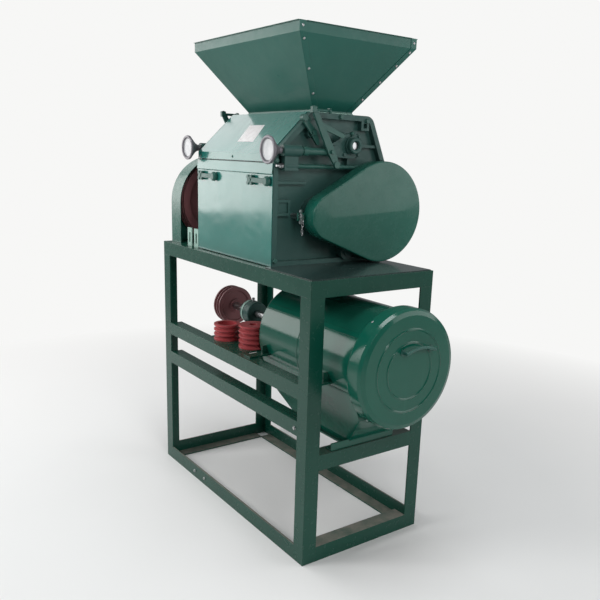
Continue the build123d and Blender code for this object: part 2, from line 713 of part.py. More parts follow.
def adjuster_bracket(side):
    """Lug casting on the front corner: guides the spindle, the push rod and the stop rod."""
    face = mill_right_x if side > 0 else mill_left_x
    x = adjuster_x(side)
    body = block(face, x, bracket_front_y + 6, bracket_back_y - 4, adjuster_z - 16, adjuster_z + 14)
    body += rod_y(17.0, bracket_front_y, bracket_back_y, x, adjuster_z)
    body += block(face, face + side * 20, bracket_front_y + 10, bracket_back_y - 6,
                  stop_rod_z - 14, adjuster_z)
    body += rod_y(12.0, bracket_front_y + 16, bracket_back_y - 4, face + side * stop_rod_offset, stop_rod_z)
    body -= rod_y(spindle_radius + running_clearance, bracket_front_y - 1, bracket_back_y, x, adjuster_z)
    body -= rod_y(rod_radius + running_clearance, bracket_back_y - 28, bracket_back_y + 1, x, adjuster_z)
    return body


def handwheel(side):
    """Dished conical handwheel with its screwed spindle."""
    x = adjuster_x(side)
    front = handwheel_front_y
    rim = handwheel_radius
    wheel = turned_y([(front + 5, 0), (front + 5, rim - 12), (front, rim - 7), (front, rim - 2),
                      (front + 3, rim), (front + 8, rim - 1), (front + 14, rim - 8), (front + 30, 17),
                      (front + 40, 11), (bracket_front_y - 4, 10), (bracket_front_y - 4, 0)], x, adjuster_z)
    return wheel + rod_y(spindle_radius, bracket_front_y - 5, bracket_back_y - 32, x, adjuster_z)


def push_rod(side):
    """Rod pushed by the spindle, with the pin that the lever turns on."""
    x = adjuster_x(side)
    rod = rod_y(rod_radius, bracket_back_y - 24, lever_pin_y - 8, x, adjuster_z)
    rod += rod_y(14.0, bracket_back_y + 8, bracket_back_y + 26, x, adjuster_z)
    rod += rod_x(13.0, x - side * 10, x + side * 11, lever_pin_y, adjuster_z)
    return rod + rod_x(6.0, x + side * 11, x + side * (13 + lever_thick + 6), lever_pin_y, adjuster_z)


def lever(side):
    """Throw-off lever with a cross bolt through its head."""
    x = adjuster_x(side) + side * 12
    outer = x + side * lever_thick
    upper = hull_yz([(lever_top_y, lever_top_z, 8.0), (lever_pin_y, adjuster_z, 13.0)])
    lower = hull_yz([(lever_pin_y, adjuster_z, 13.0), (lever_foot_y, lever_foot_z, 9.0)])
    bar = slab_x(upper, x, outer) + slab_x(lower, x, outer)
    bar += rod_x(11.0, x, outer + side * 3, lever_foot_y, lever_foot_z)
    middle = (x + outer) / 2
    bar += block(middle - 6, middle + 6, lever_top_y - 8, lever_top_y + 8, lever_top_z - 12, lever_top_z + 6)
    bar -= rod_x(6.0 + running_clearance, x - side, outer + side * 2, lever_pin_y, adjuster_z)
    link = hull_yz([(link_y, link_z, 9.0), (cam_y + 14, link_z - 30, 7.0)])
    bar += slab_x(link, x, x + side * 5)
    bar += rod_y(4.5, lever_top_y - 8, lever_top_y + 62, middle, lever_top_z - 4)
    return bar + rod_y(8.0, lever_top_y + 54, lever_top_y + 62, middle, lever_top_z - 4)


def make_adjusters():
    parts = {"adjuster_brackets": Compound(children=[adjuster_bracket(-1), adjuster_bracket(1)])}
    rods = []
    for side, name in ((-1, "left"), (1, "right")):
        parts[f"handwheel_{name}"] = handwheel(side)
        parts[f"push_rod_{name}"] = push_rod(side)
        parts[f"lever_{name}"] = lever(side)
        x = (mill_right_x if side > 0 else mill_left_x) + side * stop_rod_offset
        end_y = arm_top_y - 16 - seat_clearance
        rods.append(rod_y(stop_rod_radius, bracket_back_y - 4, end_y, x, stop_rod_z))
    parts["stop_rods"] = Compound(children=rods)
    parts["roll_arms"] = Compound(children=[roll_arm(-1), roll_arm(1)])
    return parts


def arch(radius, xa, xb, foot_z):
    """Slab with a half-round top and straight legs, about the fast roll's line."""
    round_top = rod_x(radius, xa, xb, fast_y, stand_height + belt_guard_rise)
    legs = block(xa, xb, fast_y - radius, fast_y + radius, foot_z, stand_height + belt_guard_rise)
    square = block(xa, xb, fast_y - radius, fast_y + radius, foot_z, stand_height + belt_guard_rise + radius)
    return (round_top & square) + legs


def guard_ridge(face):
    """Bar behind the gear guard's face, which slopes away from a crease along the line between the rolls."""
    reach = 2 * gear_guard_large_radius
    low = gear_guard_back_x - 5
    drop = gear_guard_crease * reach / gear_guard_large_radius
    section = [(low, -reach), (face - drop, -reach), (face, 0), (face - drop, reach), (low, reach)]
    outline = make_face(Polyline(*[(x, 0, w) for x, w in section], close=True))
    tilt = math.degrees(math.atan2(slow_z - fast_z, slow_y - fast_y))
    length = 4 * gear_guard_large_radius
    bar = Pos(0, -length / 2, 0) * extrude(outline, amount=length, dir=(0, 1, 0))
    return Pos(0, (fast_y + slow_y) / 2, (fast_z + slow_z) / 2) * Rot(tilt, 0, 0) * bar


def make_guards():
    left, right = belt_guard_left_x, belt_guard_right_x
    shell = arch(belt_guard_radius, left, right, stand_height)
    shell -= arch(belt_guard_radius - guard_sheet, left + guard_sheet, right + 1, stand_height - 1)

    back, face = gear_guard_back_x, gear_guard_face_x
    small, large = gear_guard_small_radius, gear_guard_large_radius
    outer = hull_yz([(fast_y, fast_z, small), (slow_y, slow_z, large)])
    inner = hull_yz([(fast_y, fast_z, small - guard_sheet), (slow_y, slow_z, large - guard_sheet)])
    pan = slab_x(outer, back, face) & guard_ridge(face)
    pan -= slab_x(inner, back - 1, face) & guard_ridge(face - guard_sheet)
    stay = guard_stay_y
    pan += block(back, back + 3, stay - 12, fast_y - small + 2, fast_z - 12, fast_z + 12)
    pan -= rod_x(5.2, back - 1, back + 4, stay, fast_z)

    brackets = []
    for x in slotted_bracket_xs:
        front = body_front_y - 1.5
        upright = block(x - 16.5, x + 16.5, front, front + 4, stand_height, stand_height + 67)
        foot = block(x - 16.5, x + 16.5, front + 4, front + 18, stand_height, stand_height + 4)
        slot = block(x - 5, x + 5, front - 1, front + 5, stand_height + 14, stand_height + 50)
        brackets.append(upright + foot - slot)
    web = inner_right_x + casting_web
    stud = rod_x(5.0, web, back + 14, stay, fast_z) + rod_x(9.0, web, back, stay, fast_z)
    wing = rod_x(8.0, back + 3, back + 12, stay, fast_z)
    for side in (-1, 1):
        wing += slab_x(hull_yz([(stay, fast_z + side * 6, 4.0), (stay - 4, fast_z + side * 17, 5.0)]),
                       back + 6, back + 9)
    return {"belt_guard": shell, "gear_guard": pan, "slotted_brackets": Compound(children=brackets),
            "guard_stay": stud + wing}


def make_sieve():
    parts = {}
    shell_in = drum_radius - drum_sheet
    left, right = drum_left_x, drum_right_x
    bead = 8.0
    bore = sieve_shaft_radius + 6
    shell = turned_x([(left, bore), (left, drum_radius - bead), (left + 3, drum_radius - 2),
                      (left + bead, drum_radius),
                      (right, drum_radius), (right, shell_in), (left + bead, shell_in),
                      (left + drum_sheet, shell_in - bead), (left + drum_sheet, bore)], drum_y, drum_z)
    shell -= block(inlet_left_x, inlet_right_x, drum_y - inlet_half, drum_y + inlet_half,
                   drum_z, drum_z + 200)
    parts["drum_shell"] = shell - block(left + 14, right - 30, drum_y - mouth_half, drum_y + mouth_half,
                                        drum_z - drum_radius - 1, drum_z - 60)

    rim = cap_radius
    face = cap_face_x
    back = face - cap_depth
    inside = rim - drum_sheet
    cap = [(back, rim - 1.0), (back + 3, rim), (face - 16, rim), (face - 5, rim - 5), (face, rim - 18)]
    for bead_radius in (outer_bead_radius, inner_bead_radius):
        cap += [(face, bead_radius + 4), (face + 2.5, bead_radius), (face, bead_radius - 4)]
    cap += [(face, 0), (face - drum_sheet, 0), (face - drum_sheet, rim - 18), (face - 6, inside - 5),
            (face - 16, inside), (back + cap_lap, inside), (back + cap_lap, drum_radius + seat_clearance),
            (back, drum_radius + seat_clearance)]
    parts["drum_cap"] = turned_x(cap, drum_y, drum_z)
    parts["cap_handle"] = cap_handle(face)
    parts["flour_trough"] = flour_trough(left, right)

    ears = []
    rail_edge_y = half_depth - mid_angle_size
    ear_thick = 5.0
    tangent = math.sqrt(drum_radius ** 2 - (shelf_rail_top - drum_z) ** 2)
    for x in ear_xs:
        for side in (-1, 1):
            start = drum_y + side * (tangent - 6)
            bar = block(x - 20, x + 20, start, side * (rail_edge_y + 30),
                        shelf_rail_top, shelf_rail_top + ear_thick)
            web = block(x - 3, x + 3, start, start + side * 30,
                        shelf_rail_top + ear_thick, shelf_rail_top + 32)
            ears.append(bar + web - rod_x(drum_radius, x - 30, x + 30, drum_y, drum_z))
    parts["drum_ears"] = Compound(children=ears)

    hoop = 6.0
    screen_left, screen_right = left + 26, right - 24
    screen = turned_x([(screen_left, screen_radius - hoop), (screen_left, screen_radius),
                       (screen_right, screen_radius), (screen_right, screen_radius - hoop)], drum_y, drum_z)
    window = 84.0
    for k in range(5):
        start = screen_left + 12 + k * (window + 10)
        for lift in (-1, 1):
            screen -= block(start, start + window, drum_y - 60, drum_y + 60,
                            drum_z + lift * 60, drum_z + lift * 160)
            screen -= block(start, start + window, drum_y + lift * 60, drum_y + lift * 160,
                            drum_z - 60, drum_z + 60)
    spider_left, spider_right = screen_right, screen_right + 6
    spider = rod_x(drum_radius - drum_sheet, spider_left, spider_right, drum_y, drum_z)
    spider -= rod_x(screen_radius - 18, spider_left - 1, spider_right + 1, drum_y, drum_z)
    for k in range(3):
        arm = Pos((spider_left + spider_right) / 2, drum_y, drum_z) * Rot(120 * k, 0, 0) * Pos(0, 0, 76)
        spider += arm * Box(spider_right - spider_left, 30, 102)
    spider += rod_x(34.0, spider_left - 6, spider_right + 4, drum_y, drum_z)
    spider -= rod_x(sieve_shaft_radius + running_clearance, spider_left - 9, spider_right + 9, drum_y, drum_z)
    parts["sieve_screen"] = Compound(children=[screen, spider])

    rotor = rod_x(sieve_shaft_radius, sieve_shaft_left_x, right - 6, drum_y, drum_z)
    for x in (left + 50, (left + right) / 2, right - 50):
        rotor += rod_x(28.0, x - 10, x + 10, drum_y, drum_z)
        for k in range(4):
            rotor += Pos(x, drum_y, drum_z) * Rot(90 * k, 0, 0) * Pos(0, 0, 62) * Box(16, 10, 76)
    for k in range(4):
        beater = Pos((left + right) / 2, drum_y, drum_z) * Rot(90 * k, 0, 0) * Pos(0, 0, 110)
        rotor += beater * Box(right - left - 60, 14, 26)
    parts["sieve_rotor"] = rotor

    pulley_left = sieve_pulley_right_x - 2 * belt_pitch - 8
    radius = sieve_pulley_radius
    rim_points = [(pulley_left, radius)] + grooved_rim(pulley_left, 2, radius, 4 + belt_pitch / 2)
    bore_radius = sieve_shaft_radius + 0.02
    pulley_right = sieve_pulley_right_x
    face_points = [(pulley_right, radius), (pulley_right, radius - 14), (pulley_right - 6, radius - 18),
                   (pulley_right - 6, 27), (pulley_right, 25), (pulley_right, bore_radius),
                   (pulley_left, bore_radius)]
    parts["sieve_pulley"] = turned_x(rim_points + face_points, drum_y, drum_z)

    barrel = turned_x([(bearing_left_x, 26), (bearing_left_x + 6, bearing_radius - 6),
                       (bearing_left_x + 6, bearing_radius),
                       (bearing_right_x - 3, bearing_radius), (bearing_right_x, bearing_radius - 3),
                       (bearing_right_x, sieve_shaft_radius + running_clearance),
                       (bearing_left_x, sieve_shaft_radius + running_clearance)], drum_y, drum_z)
    middle = (bearing_left_x + bearing_right_x) / 2
    pedestal = block(middle - 16, middle + 16, drum_y - 24, drum_y + 24, shelf_rail_top, drum_z - 20)
    pedestal += block(middle - 26, middle + 26, drum_y - 52, drum_y + 52, shelf_rail_top, shelf_rail_top + 12)
    pedestal -= rod_x(sieve_shaft_radius + 4, middle - 40, middle + 40, drum_y, drum_z)
    parts["sieve_bearing"] = barrel + pedestal

    parts["discharge_chute"] = discharge_chute()
    return parts


def cap_handle(face):
    """Arched bar handle that stands off the cap on two feet."""
    out = face + handle_stand_off
    low_y, high_y, foot_z = drum_y - 30.0, drum_y + 80.0, drum_z + 60.0
    crown = (out, (low_y + high_y) / 2, foot_z + 12.0)
    bow = ThreePointArc((out, low_y, foot_z), crown, (out, high_y, foot_z))
    grip = sweep(Plane(origin=bow @ 0, z_dir=bow % 0) * Circle(5.0), path=bow)
    for y in (low_y, high_y):
        grip += rod_x(5.0, face, out, y, foot_z) + rod_x(9.0, face, face + 3, y, foot_z)
        grip += Pos(out, y, foot_z) * Sphere(5.0)
    return grip


def flour_trough(left, right):
    """Hopper-shaped tray under the sieve: its long walls run up tangent to the drum."""
    span_y, span_z = trough_half_width, drum_z - trough_foot_z
    reach = math.hypot(span_y, span_z)
    turn = math.atan2(span_z, span_y) - math.acos(drum_radius / reach)
    touch_y = drum_radius * math.cos(turn)
    touch_z = drum_z - drum_radius * math.sin(turn)
    rise = touch_z - trough_foot_z
    end_left, end_right = left + 2, right - 22
    lean_left = (trough_left_x - end_left) / (drum_z - drum_radius - trough_foot_z)
    lean_right = (end_right - trough_right_x) / (drum_z - drum_radius + 15 - trough_foot_z)
    top_left = trough_left_x - lean_left * rise
    top_right = trough_right_x + lean_right * rise
    low_mid = ((trough_left_x + trough_right_x) / 2, drum_y)
    high_mid = ((top_left + top_right) / 2, drum_y)
    low_half = ((trough_right_x - trough_left_x) / 2, trough_half_width - drum_sheet)
    high_half = ((top_right - top_left) / 2, touch_y - drum_sheet)
    clear_drum = rod_x(drum_radius + seat_clearance, left - 1, right + 1, drum_y, drum_z)
    span = block(end_left, end_right, drum_y - 2 * drum_radius, drum_y + 2 * drum_radius, 0, touch_z)
    walls = [(wall & span) - clear_drum for wall in
             funnel_walls(low_mid, low_half, trough_foot_z, high_mid, high_half, touch_z, drum_sheet)]
    core = loft_box(low_mid, low_half, trough_foot_z, high_mid, high_half, touch_z)
    for x in (end_left, end_right - drum_sheet):
        half = 2 * drum_radius
        gable = core & block(x, x + drum_sheet, drum_y - half, drum_y + half, 0, touch_z)
        walls.append(gable - clear_drum)

    flange = 12.0
    front = drum_y - trough_half_width
    back = drum_y + trough_half_width
    low, high = trough_foot_z - 5, trough_foot_z
    bar_left, bar_right = trough_right_x - 15, trough_right_x + 14
    bar = block(bar_left, bar_right, trough_bar_front_y, back + flange, low, high)
    bar += block(bar_right - 4, bar_right, trough_bar_front_y, back + flange, low, low + trough_bar_height)
    feet = [block(trough_left_x, bar_left, front - flange, front + 2, low, high),
            block(trough_left_x, bar_left, back - 2, back + flange, low, high), bar]
    pieces = []
    for shape in walls + feet:
        pieces += shape.solids()
    return Compound(children=pieces)


def loft_box(centre_low, half_low, z_low, centre_high, half_high, z_high):
    """Solid between two level rectangles."""
    wires = []
    for (cx, cy), (hx, hy), z in ((centre_low, half_low, z_low), (centre_high, half_high, z_high)):
        corners = [(cx + sx * hx, cy + sy * hy, z) for sx, sy in ((-1, -1), (1, -1), (1, 1), (-1, 1))]
        wires.append(Polyline(*corners, close=True).wire())
    return Solid.make_loft(wires, ruled=True)


def discharge_chute():
    """Funnel below the rolls with a square neck that drops into the drum."""
    spout_top = stand_height + 24
    neck_top = drum_z + drum_radius + 4
    neck_low = drum_z + math.sqrt(drum_radius ** 2 - inlet_half ** 2) - 1
    mouth_mid = ((inner_left_x + inner_right_x) / 2, (fast_y + slow_y) / 2)
    mouth_half = ((inner_right_x - inner_left_x) / 2 - seat_clearance - drum_sheet, 128.0)
    neck_mid = ((inlet_left_x + inlet_right_x) / 2, drum_y)
    neck_half = ((inlet_right_x - inlet_left_x) / 2 - 4, inlet_half - 4)
    slopes = funnel_walls(neck_mid, neck_half, neck_top, mouth_mid, mouth_half, spout_top, drum_sheet)
    necks = funnel_walls(neck_mid, neck_half, neck_low, neck_mid, neck_half, neck_top, drum_sheet)
    return Compound(children=[slopes[k] + necks[k] for k in range(4)])


def make_spare_pulleys():
    """Two loose belt pulleys standing on the shelf: an open cup and a solid one."""
    top = shelf_rail_top
    cup_h, cup_r, pitch = 58.0, 47.0, 17.0
    cup_points = [(top, 14.0), (top, cup_r)]
    for k in range(3):
        z = top + 12 + pitch * k
        cup_points += [(z - 6, cup_r), (z - 2.5, cup_r - 10), (z + 2.5, cup_r - 10), (z + 6, cup_r)]
    cup_points += [(top + cup_h, cup_r), (top + cup_h, cup_r - 13), (top + 20, cup_r - 15), (top + 20, 14.0)]
    solid_h, solid_r = 80.0, 50.0
    solid_points = [(top, 14.0), (top, solid_r)]
    for k in range(4):
        z = top + 13 + 18 * k
        bed_r = solid_r - 11
        solid_points += [(z - 6.5, solid_r), (z - 2.5, bed_r), (z + 2.5, bed_r), (z + 6.5, solid_r)]
    solid_points += [(top + solid_h, solid_r), (top + solid_h, 14.0)]
    pulleys = [turned_z(cup_points, *cup_place), turned_z(solid_points, *solid_place)]
    return {"spare_pulleys": Compound(children=pulleys)}


def main():
    parts = {}
    for make in (make_stand, make_shelf, make_body, make_hopper, make_rolls, make_adjusters,
                 make_guards, make_sieve, make_spare_pulleys):
        parts.update(make())
    parts["latch_left"] = make_latch(latch_left_x)
    parts["latch_right"] = make_latch(latch_right_x)
    to_origin = Pos(-reach_centre_x, -reach_centre_y, 0)
    for name, shape in parts.items():
        solids = [to_origin * solid for solid in shape.solids()]
        export_step(Compound(children=solids) if len(solids) > 1 else solids[0], f"parts/{name}.step")
    print(len(parts), "nodes")


main()
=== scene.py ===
# Looks of the small roller flour mill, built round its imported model. The scene is in metres.
import json
import math
import random

import bmesh
import bpy
from mathutils import Matrix, Vector


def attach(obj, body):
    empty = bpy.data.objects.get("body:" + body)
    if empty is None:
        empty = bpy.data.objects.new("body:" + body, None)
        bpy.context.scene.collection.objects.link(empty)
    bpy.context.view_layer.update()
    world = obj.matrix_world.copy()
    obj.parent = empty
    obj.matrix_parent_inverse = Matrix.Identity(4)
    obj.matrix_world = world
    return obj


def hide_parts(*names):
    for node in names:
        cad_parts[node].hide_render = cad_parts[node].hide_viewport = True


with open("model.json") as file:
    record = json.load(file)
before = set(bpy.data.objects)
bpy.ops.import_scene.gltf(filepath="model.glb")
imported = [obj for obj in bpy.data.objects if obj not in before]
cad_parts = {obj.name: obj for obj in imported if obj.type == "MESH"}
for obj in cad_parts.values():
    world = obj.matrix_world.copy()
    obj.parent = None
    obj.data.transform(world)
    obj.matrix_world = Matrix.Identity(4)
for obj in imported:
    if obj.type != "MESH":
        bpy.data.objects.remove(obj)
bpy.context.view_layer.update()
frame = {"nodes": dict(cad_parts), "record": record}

nodes = frame["nodes"]
random.seed(7)

# Pieces are drawn in millimetres from the centre of the stand's feet, x to the right end, y to the back.
REACH_CENTRE = Vector((85.0, 45.0, 0.0))
MM = 0.001

# Stand
HALF_LENGTH = 490.0
HALF_DEPTH = 237.5
STAND_TOP = 890.0
ANGLE = 50.0
SHELF_TOP = 575.0
LOWER_RAIL_TOP = 459.0
END_RAIL_TOP = 357.0
RAIL_SEAM = 44.0
END_RAIL_SEAM = 48.0
WELD_SINK = 2.4
WELD_RADIUS = 1.8
WELD_FOOT = 4.0
TOP_WELD_Z = STAND_TOP - 0.6
TOP_WELD_RADIUS = 1.4
RAIL_BOLT = (HALF_LENGTH - 62.0, LOWER_RAIL_TOP - 24.0)
BASE_BOLT_XS = (-HALF_LENGTH + 250.0, -HALF_LENGTH + 330.0)
BASE_BOLT_Z = 26.0
TABLE_BOLT_YS = (-172.0, 172.0)
TABLE_BOLT_Z = STAND_TOP - 5.2
TABLE_BOLT_OFFSET = 11.0

# Mill
LEFT_FACE = -254.0
RIGHT_FACE = 236.0
FRONT_Y = -206.5
COVER_FOOT_Z = 1229.0
COVER_TOP_Y = -72.5
BODY_TOP = 1358.0
FAST = (-34.5, 1046.0)
SLOW = (175.5, 1058.0)
FEED = (80.0, 1264.0)
ADJUSTER_Z = 1242.0
LEFT_ADJUSTER_X = -272.0
RIGHT_ADJUSTER_X = 254.0
ENDS = ((-1, LEFT_FACE), (1, RIGHT_FACE))
STOP_PLACE = (-190.0, 1197.0)
STOP_OFFSET = 9.0

# Bolts of the side castings, as (y, z, turn)
CASTING_BOLTS = (
    (-197.0, 910.0, 0.2), (210.0, 912.0, 0.5), (-197.0, 1212.0, 0.1),
    (-84.0, 1336.0, 0.4), (146.0, 1342.0, 0.0), (219.0, 1216.0, 0.7),
    (277.0, 1085.0, 0.3), (277.0, 1012.0, 0.6), (40.0, 1349.0, 0.2),
)
BEARING_BOLT_CIRCLE = 51.0
BEARING_FACE = 10.0
COVER_SCREW_XS = (LEFT_FACE + 26.0, -9.0, RIGHT_FACE - 44.0)

# Label on the cover: each corner is x, and the share of the way up the slope
LABEL_CORNERS = ((-42.0, 0.27), (57.0, 0.27), (37.0, 0.69), (-58.0, 0.69))

# Hopper
HOPPER_Y = 38.5
HOPPER_TOP = (318.0, 221.0, 1594.0)
HOPPER_FOOT = (191.0, 77.0, 1368.0)
HOPPER_BAND = 30.0
HOPPER_LAP = 3.4
HOPPER_SCREW_INSET = 9.5
FRONT_SCREW_LEVELS = (1580.0, 1548.0, 1476.0, 1412.0)
BACK_SCREW_LEVELS = (1580.0, 1552.0, 1512.0, 1462.0, 1408.0)

# Guards
GUARD_BACK = 256.0
GUARD_FACE = 312.0
GUARD_SMALL = 71.5
GUARD_LARGE = 161.5
GUARD_CREASE = 6.0
GUARD_EDGE = 3.5
GUARD_SHEET = 1.5
DENT_PLACE = (84.3, 1128.4)
DENT_DEPTH = 1.6
DENT_SPREAD = 90.0
STAY_Y = -120.0
TAB_END_Y = -104.0
TAB_HALF = 12.0
CHAIN_TOP = (266.0, -117.0, 1039.0)

# Sieve
DRUM = (18.5, 631.0)
DRUM_RADIUS = 168.0
DRUM_LEFT = 70.0
DRUM_RIGHT = 590.0
CAP_FACE = 636.0
CAP_RADIUS = 184.0
CAP_SCREW_ANGLES = (18.0, 126.0, 234.0, 342.0)
CASING_BEAD_X = 300.0
SEAM_ANGLE = 38.0
SEAM_LEFT = DRUM_LEFT + 10.0
SEAM_RIGHT = DRUM_RIGHT - 18.0
SEAM_PROUD = 1.2
BEARING_X = -242.5
BEARING_BOLT_HALF = 41.0
BEARING_TOP = 43.0
BAND_X = -257.0

# Camera, solved from the stand's corners in the photograph
CAMERA_PLACE = (2033.6, -1357.5, 1230.7)
CAMERA_AZIMUTH = 53.394
CAMERA_DOWN = 14.176
CAMERA_ROLL = 2.056
FOCAL_PIXELS = 696.95
IMAGE_PIXELS = 600.0
MIDDLE_PIXEL = (317.44, 331.52)
SENSOR = 36.0

# Studio, in metres
BACKDROP = (0.93, 0.93, 0.92)
FLOOR_HALF = 14.0
FLOOR_COLOUR = (0.8, 0.8, 0.79)
FLOOR_NEAR = 1.0
FLOOR_FAR = 2.7
FLOOR_IN_GLOSS = 0.35
WORLD_COLOUR = (0.95, 0.97, 1.0)
WORLD_STRENGTH = 0.22
WHITE = (1.0, 1.0, 1.0)

# Soft boxes as (name, place, target, size, brightness, colour)
LAMPS = (
    ("window_left", (-2.75, -1.75, 1.6), (0.0, -0.1, 1.1), (2.2, 1.65), 3.3, (1.0, 0.98, 0.97)),
    ("window_high", (-2.4, 0.0, 2.65), (-0.1, -0.18, 1.3), (1.7, 1.3), 1.6, WHITE),
    ("front_soft", (-1.0, -3.4, 2.7), (0.0, 0.0, 0.8), (1.3, 1.0), 14.0, WHITE),
    ("sky_top", (0.2, -0.2, 4.2), (0.0, 0.0, 0.9), (1.6, 1.6), 7.0, (0.95, 0.98, 1.0)),
    ("fill_right", (3.3, -0.9, 2.7), (0.0, 0.0, 0.9), (1.3, 1.3), 7.0, WHITE),
    ("window_right", (2.45, 2.1, 1.72), (0.2, 0.1, 1.1), (2.4, 1.6), 2.0, WHITE),
)

# White face of the handwheels, in metres
WHEEL_FACE_EDGE = -0.2815
WHEEL_FACE_RADIUS = 0.0305


def metres(point):
    return (Vector(point) - REACH_CENTRE) * MM


class Piece:
    """A mesh drawn in stand millimetres, then hung on a body of the frame."""

    def __init__(self, name):
        self.name = name
        self.bm = bmesh.new()

    def skin(self, rings, start_cap=True, end_cap=True):
        """Joins rings of points, which have equal counts, or one point at a pole."""
        made = [[self.bm.verts.new(p) for p in ring] for ring in rings]
        for a, b in zip(made, made[1:]):
            count = max(len(a), len(b))
            for k in range(count):
                n = (k + 1) % count
                if len(a) == 1:
                    self.bm.faces.new((a[0], b[n], b[k]))
                elif len(b) == 1:
                    self.bm.faces.new((a[k], a[n], b[0]))
                else:
                    self.bm.faces.new((a[k], a[n], b[n], b[k]))
        if start_cap and len(made[0]) > 2:
            self.bm.faces.new(made[0][::-1])
        if end_cap and len(made[-1]) > 2:
            self.bm.faces.new(made[-1])
        return self

    def lathe(self, profile, centre, axis="x", steps=48, loop=False):
        """Turns a profile of (distance along the axis, radius) about the axis through centre."""
        rings = []
        for along, radius in profile:
            if radius < 0.001:
                rings.append([along_axis(centre, axis, along, 0, 0)])
                continue
            ring = []
            for k in range(steps):
                turn = math.tau * k / steps
                u, v = radius * math.cos(turn), radius * math.sin(turn)
                ring.append(along_axis(centre, axis, along, u, v))
            rings.append(ring)
        if loop:
            rings.append(rings[0])
        self.skin(rings, start_cap=not loop, end_cap=not loop)
        return self

    def block(self, low, high, bevel):
        """Box between two corners, with eased edges."""
        (xa, ya, za), (xb, yb, zb) = low, high
        outline = ((xa, ya), (xb, ya), (xb, yb), (xa, yb))
        piece = Piece("part").skin([[(x, y, z) for x, y in outline] for z in (za, zb)])
        bmesh.ops.bevel(piece.bm, geom=piece.bm.edges[:], offset=bevel, segments=2, affect="EDGES",
                        profile=0.5)
        return self.take(piece)

    def tube(self, points, radius, sides=12):
        """Round bar along points. radius is a number, or one for each point."""
        points = [Vector(p) for p in points]
        radii = radius if isinstance(radius, (list, tuple)) else [radius] * len(points)
        side = None
        rings = []
        for k, point in enumerate(points):
            ahead = points[min(k + 1, len(points) - 1)] - points[max(k - 1, 0)]
            ahead.normalize()
            if side is None:
                side = ahead.orthogonal().normalized()
            side = (side - ahead * side.dot(ahead)).normalized()
            other = ahead.cross(side)
            ring = []
            for j in range(sides):
                turn = math.tau * j / sides
                ring.append(point + side * radii[k] * math.cos(turn) + other * radii[k] * math.sin(turn))
            rings.append(ring)
        return self.skin(rings)

    def take(self, other):
        """Adds another piece's mesh to this one."""
        mesh = bpy.data.meshes.new("part")
        other.bm.to_mesh(mesh)
        other.bm.free()
        self.bm.from_mesh(mesh)
        bpy.data.meshes.remove(mesh)
        return self

    def aimed(self, centre, direction, part):
        """Adds a part that is drawn along x from the zero point, turned to point in a direction."""
        turn = Vector((1, 0, 0)).rotation_difference(Vector(direction)).to_matrix().to_4x4()
        place = Matrix.Translation(Vector(centre)) @ turn
        bmesh.ops.transform(part.bm, matrix=place, verts=part.bm.verts[:])
        return self.take(part)

    def bolt(self, centre, axis, sign=1, size=8.0, turn=0.0, washer=True):
        """Hexagon head with a chamfer on a washer. size is the thread's diameter."""
        reach = size * 0.95
        base = 0.0
        if washer:
            wide = reach * 1.15
            thick = sign * size * 0.18
            self.lathe([(0, 0), (0, wide), (thick, wide), (thick, 0)], centre, axis, 24)
            base = thick
        shoulder = base + sign * size * 0.55
        top = base + sign * size * 0.68
        head = []
        for level, radius in ((base, reach), (shoulder, reach), (top, reach * 0.86)):
            ring = []
            for k in range(6):
                angle = turn + math.tau * k / 6
                u, v = radius * math.cos(angle), radius * math.sin(angle)
                ring.append(along_axis(centre, axis, level, u, v))
            head.append(ring)
        return self.skin(head)

    def screw(self, centre, axis, sign, radius):
        """Low domed screw head."""
        profile = [(0, radius), (sign * radius * 0.3, radius * 0.92), (sign * radius * 0.5, radius * 0.6),
                   (sign * radius * 0.56, 0)]
        return self.lathe([(0, 0)] + profile, centre, axis, 16)

    def bead(self, start, end, radius):
        """Weld bead: a lumpy half-sunk bar from start to end."""
        wobble = 0.5
        start, end = Vector(start), Vector(end)
        count = max(4, int((end - start).length / 2.2))
        points, radii = [], []
        for k in range(count + 1):
            stray = Vector([random.uniform(-wobble, wobble) for _ in range(3)])
            points.append(start.lerp(end, k / count) + stray)
            radii.append(radius * (0.72 + 0.28 * abs(math.sin(k * 1.7)) + random.uniform(-0.08, 0.08)))
        radii[0] = radii[-1] = radius * 0.3
        return self.tube(points, radii, 8)

    def finish(self, body, slot, material, angle=35.0, replaces=()):
        bmesh.ops.remove_doubles(self.bm, verts=self.bm.verts, dist=0.0005)
        bmesh.ops.recalc_face_normals(self.bm, faces=self.bm.faces)
        for vert in self.bm.verts:
            vert.co = metres(vert.co)
        mesh = bpy.data.meshes.new(self.name)
        self.bm.to_mesh(mesh)
        self.bm.free()
        obj = bpy.data.objects.new(self.name, mesh)
        bpy.context.scene.collection.objects.link(obj)
        mesh.polygons.foreach_set("use_smooth", [True] * len(mesh.polygons))
        mesh.set_sharp_from_angle(angle=math.radians(angle))
        mesh.materials.append(material)
        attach(obj, body)
        if replaces:
            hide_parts(*replaces)
        return obj


def along_axis(centre, axis, along, u, v):
    """Point at a distance along the axis, and (u, v) across it, from centre."""
    x, y, z = centre
    if axis == "x":
        return (x + along, y + u, z + v)
    if axis == "y":
        return (x + u, y + along, z + v)
    return (x + u, y + v, z + along)


# Materials

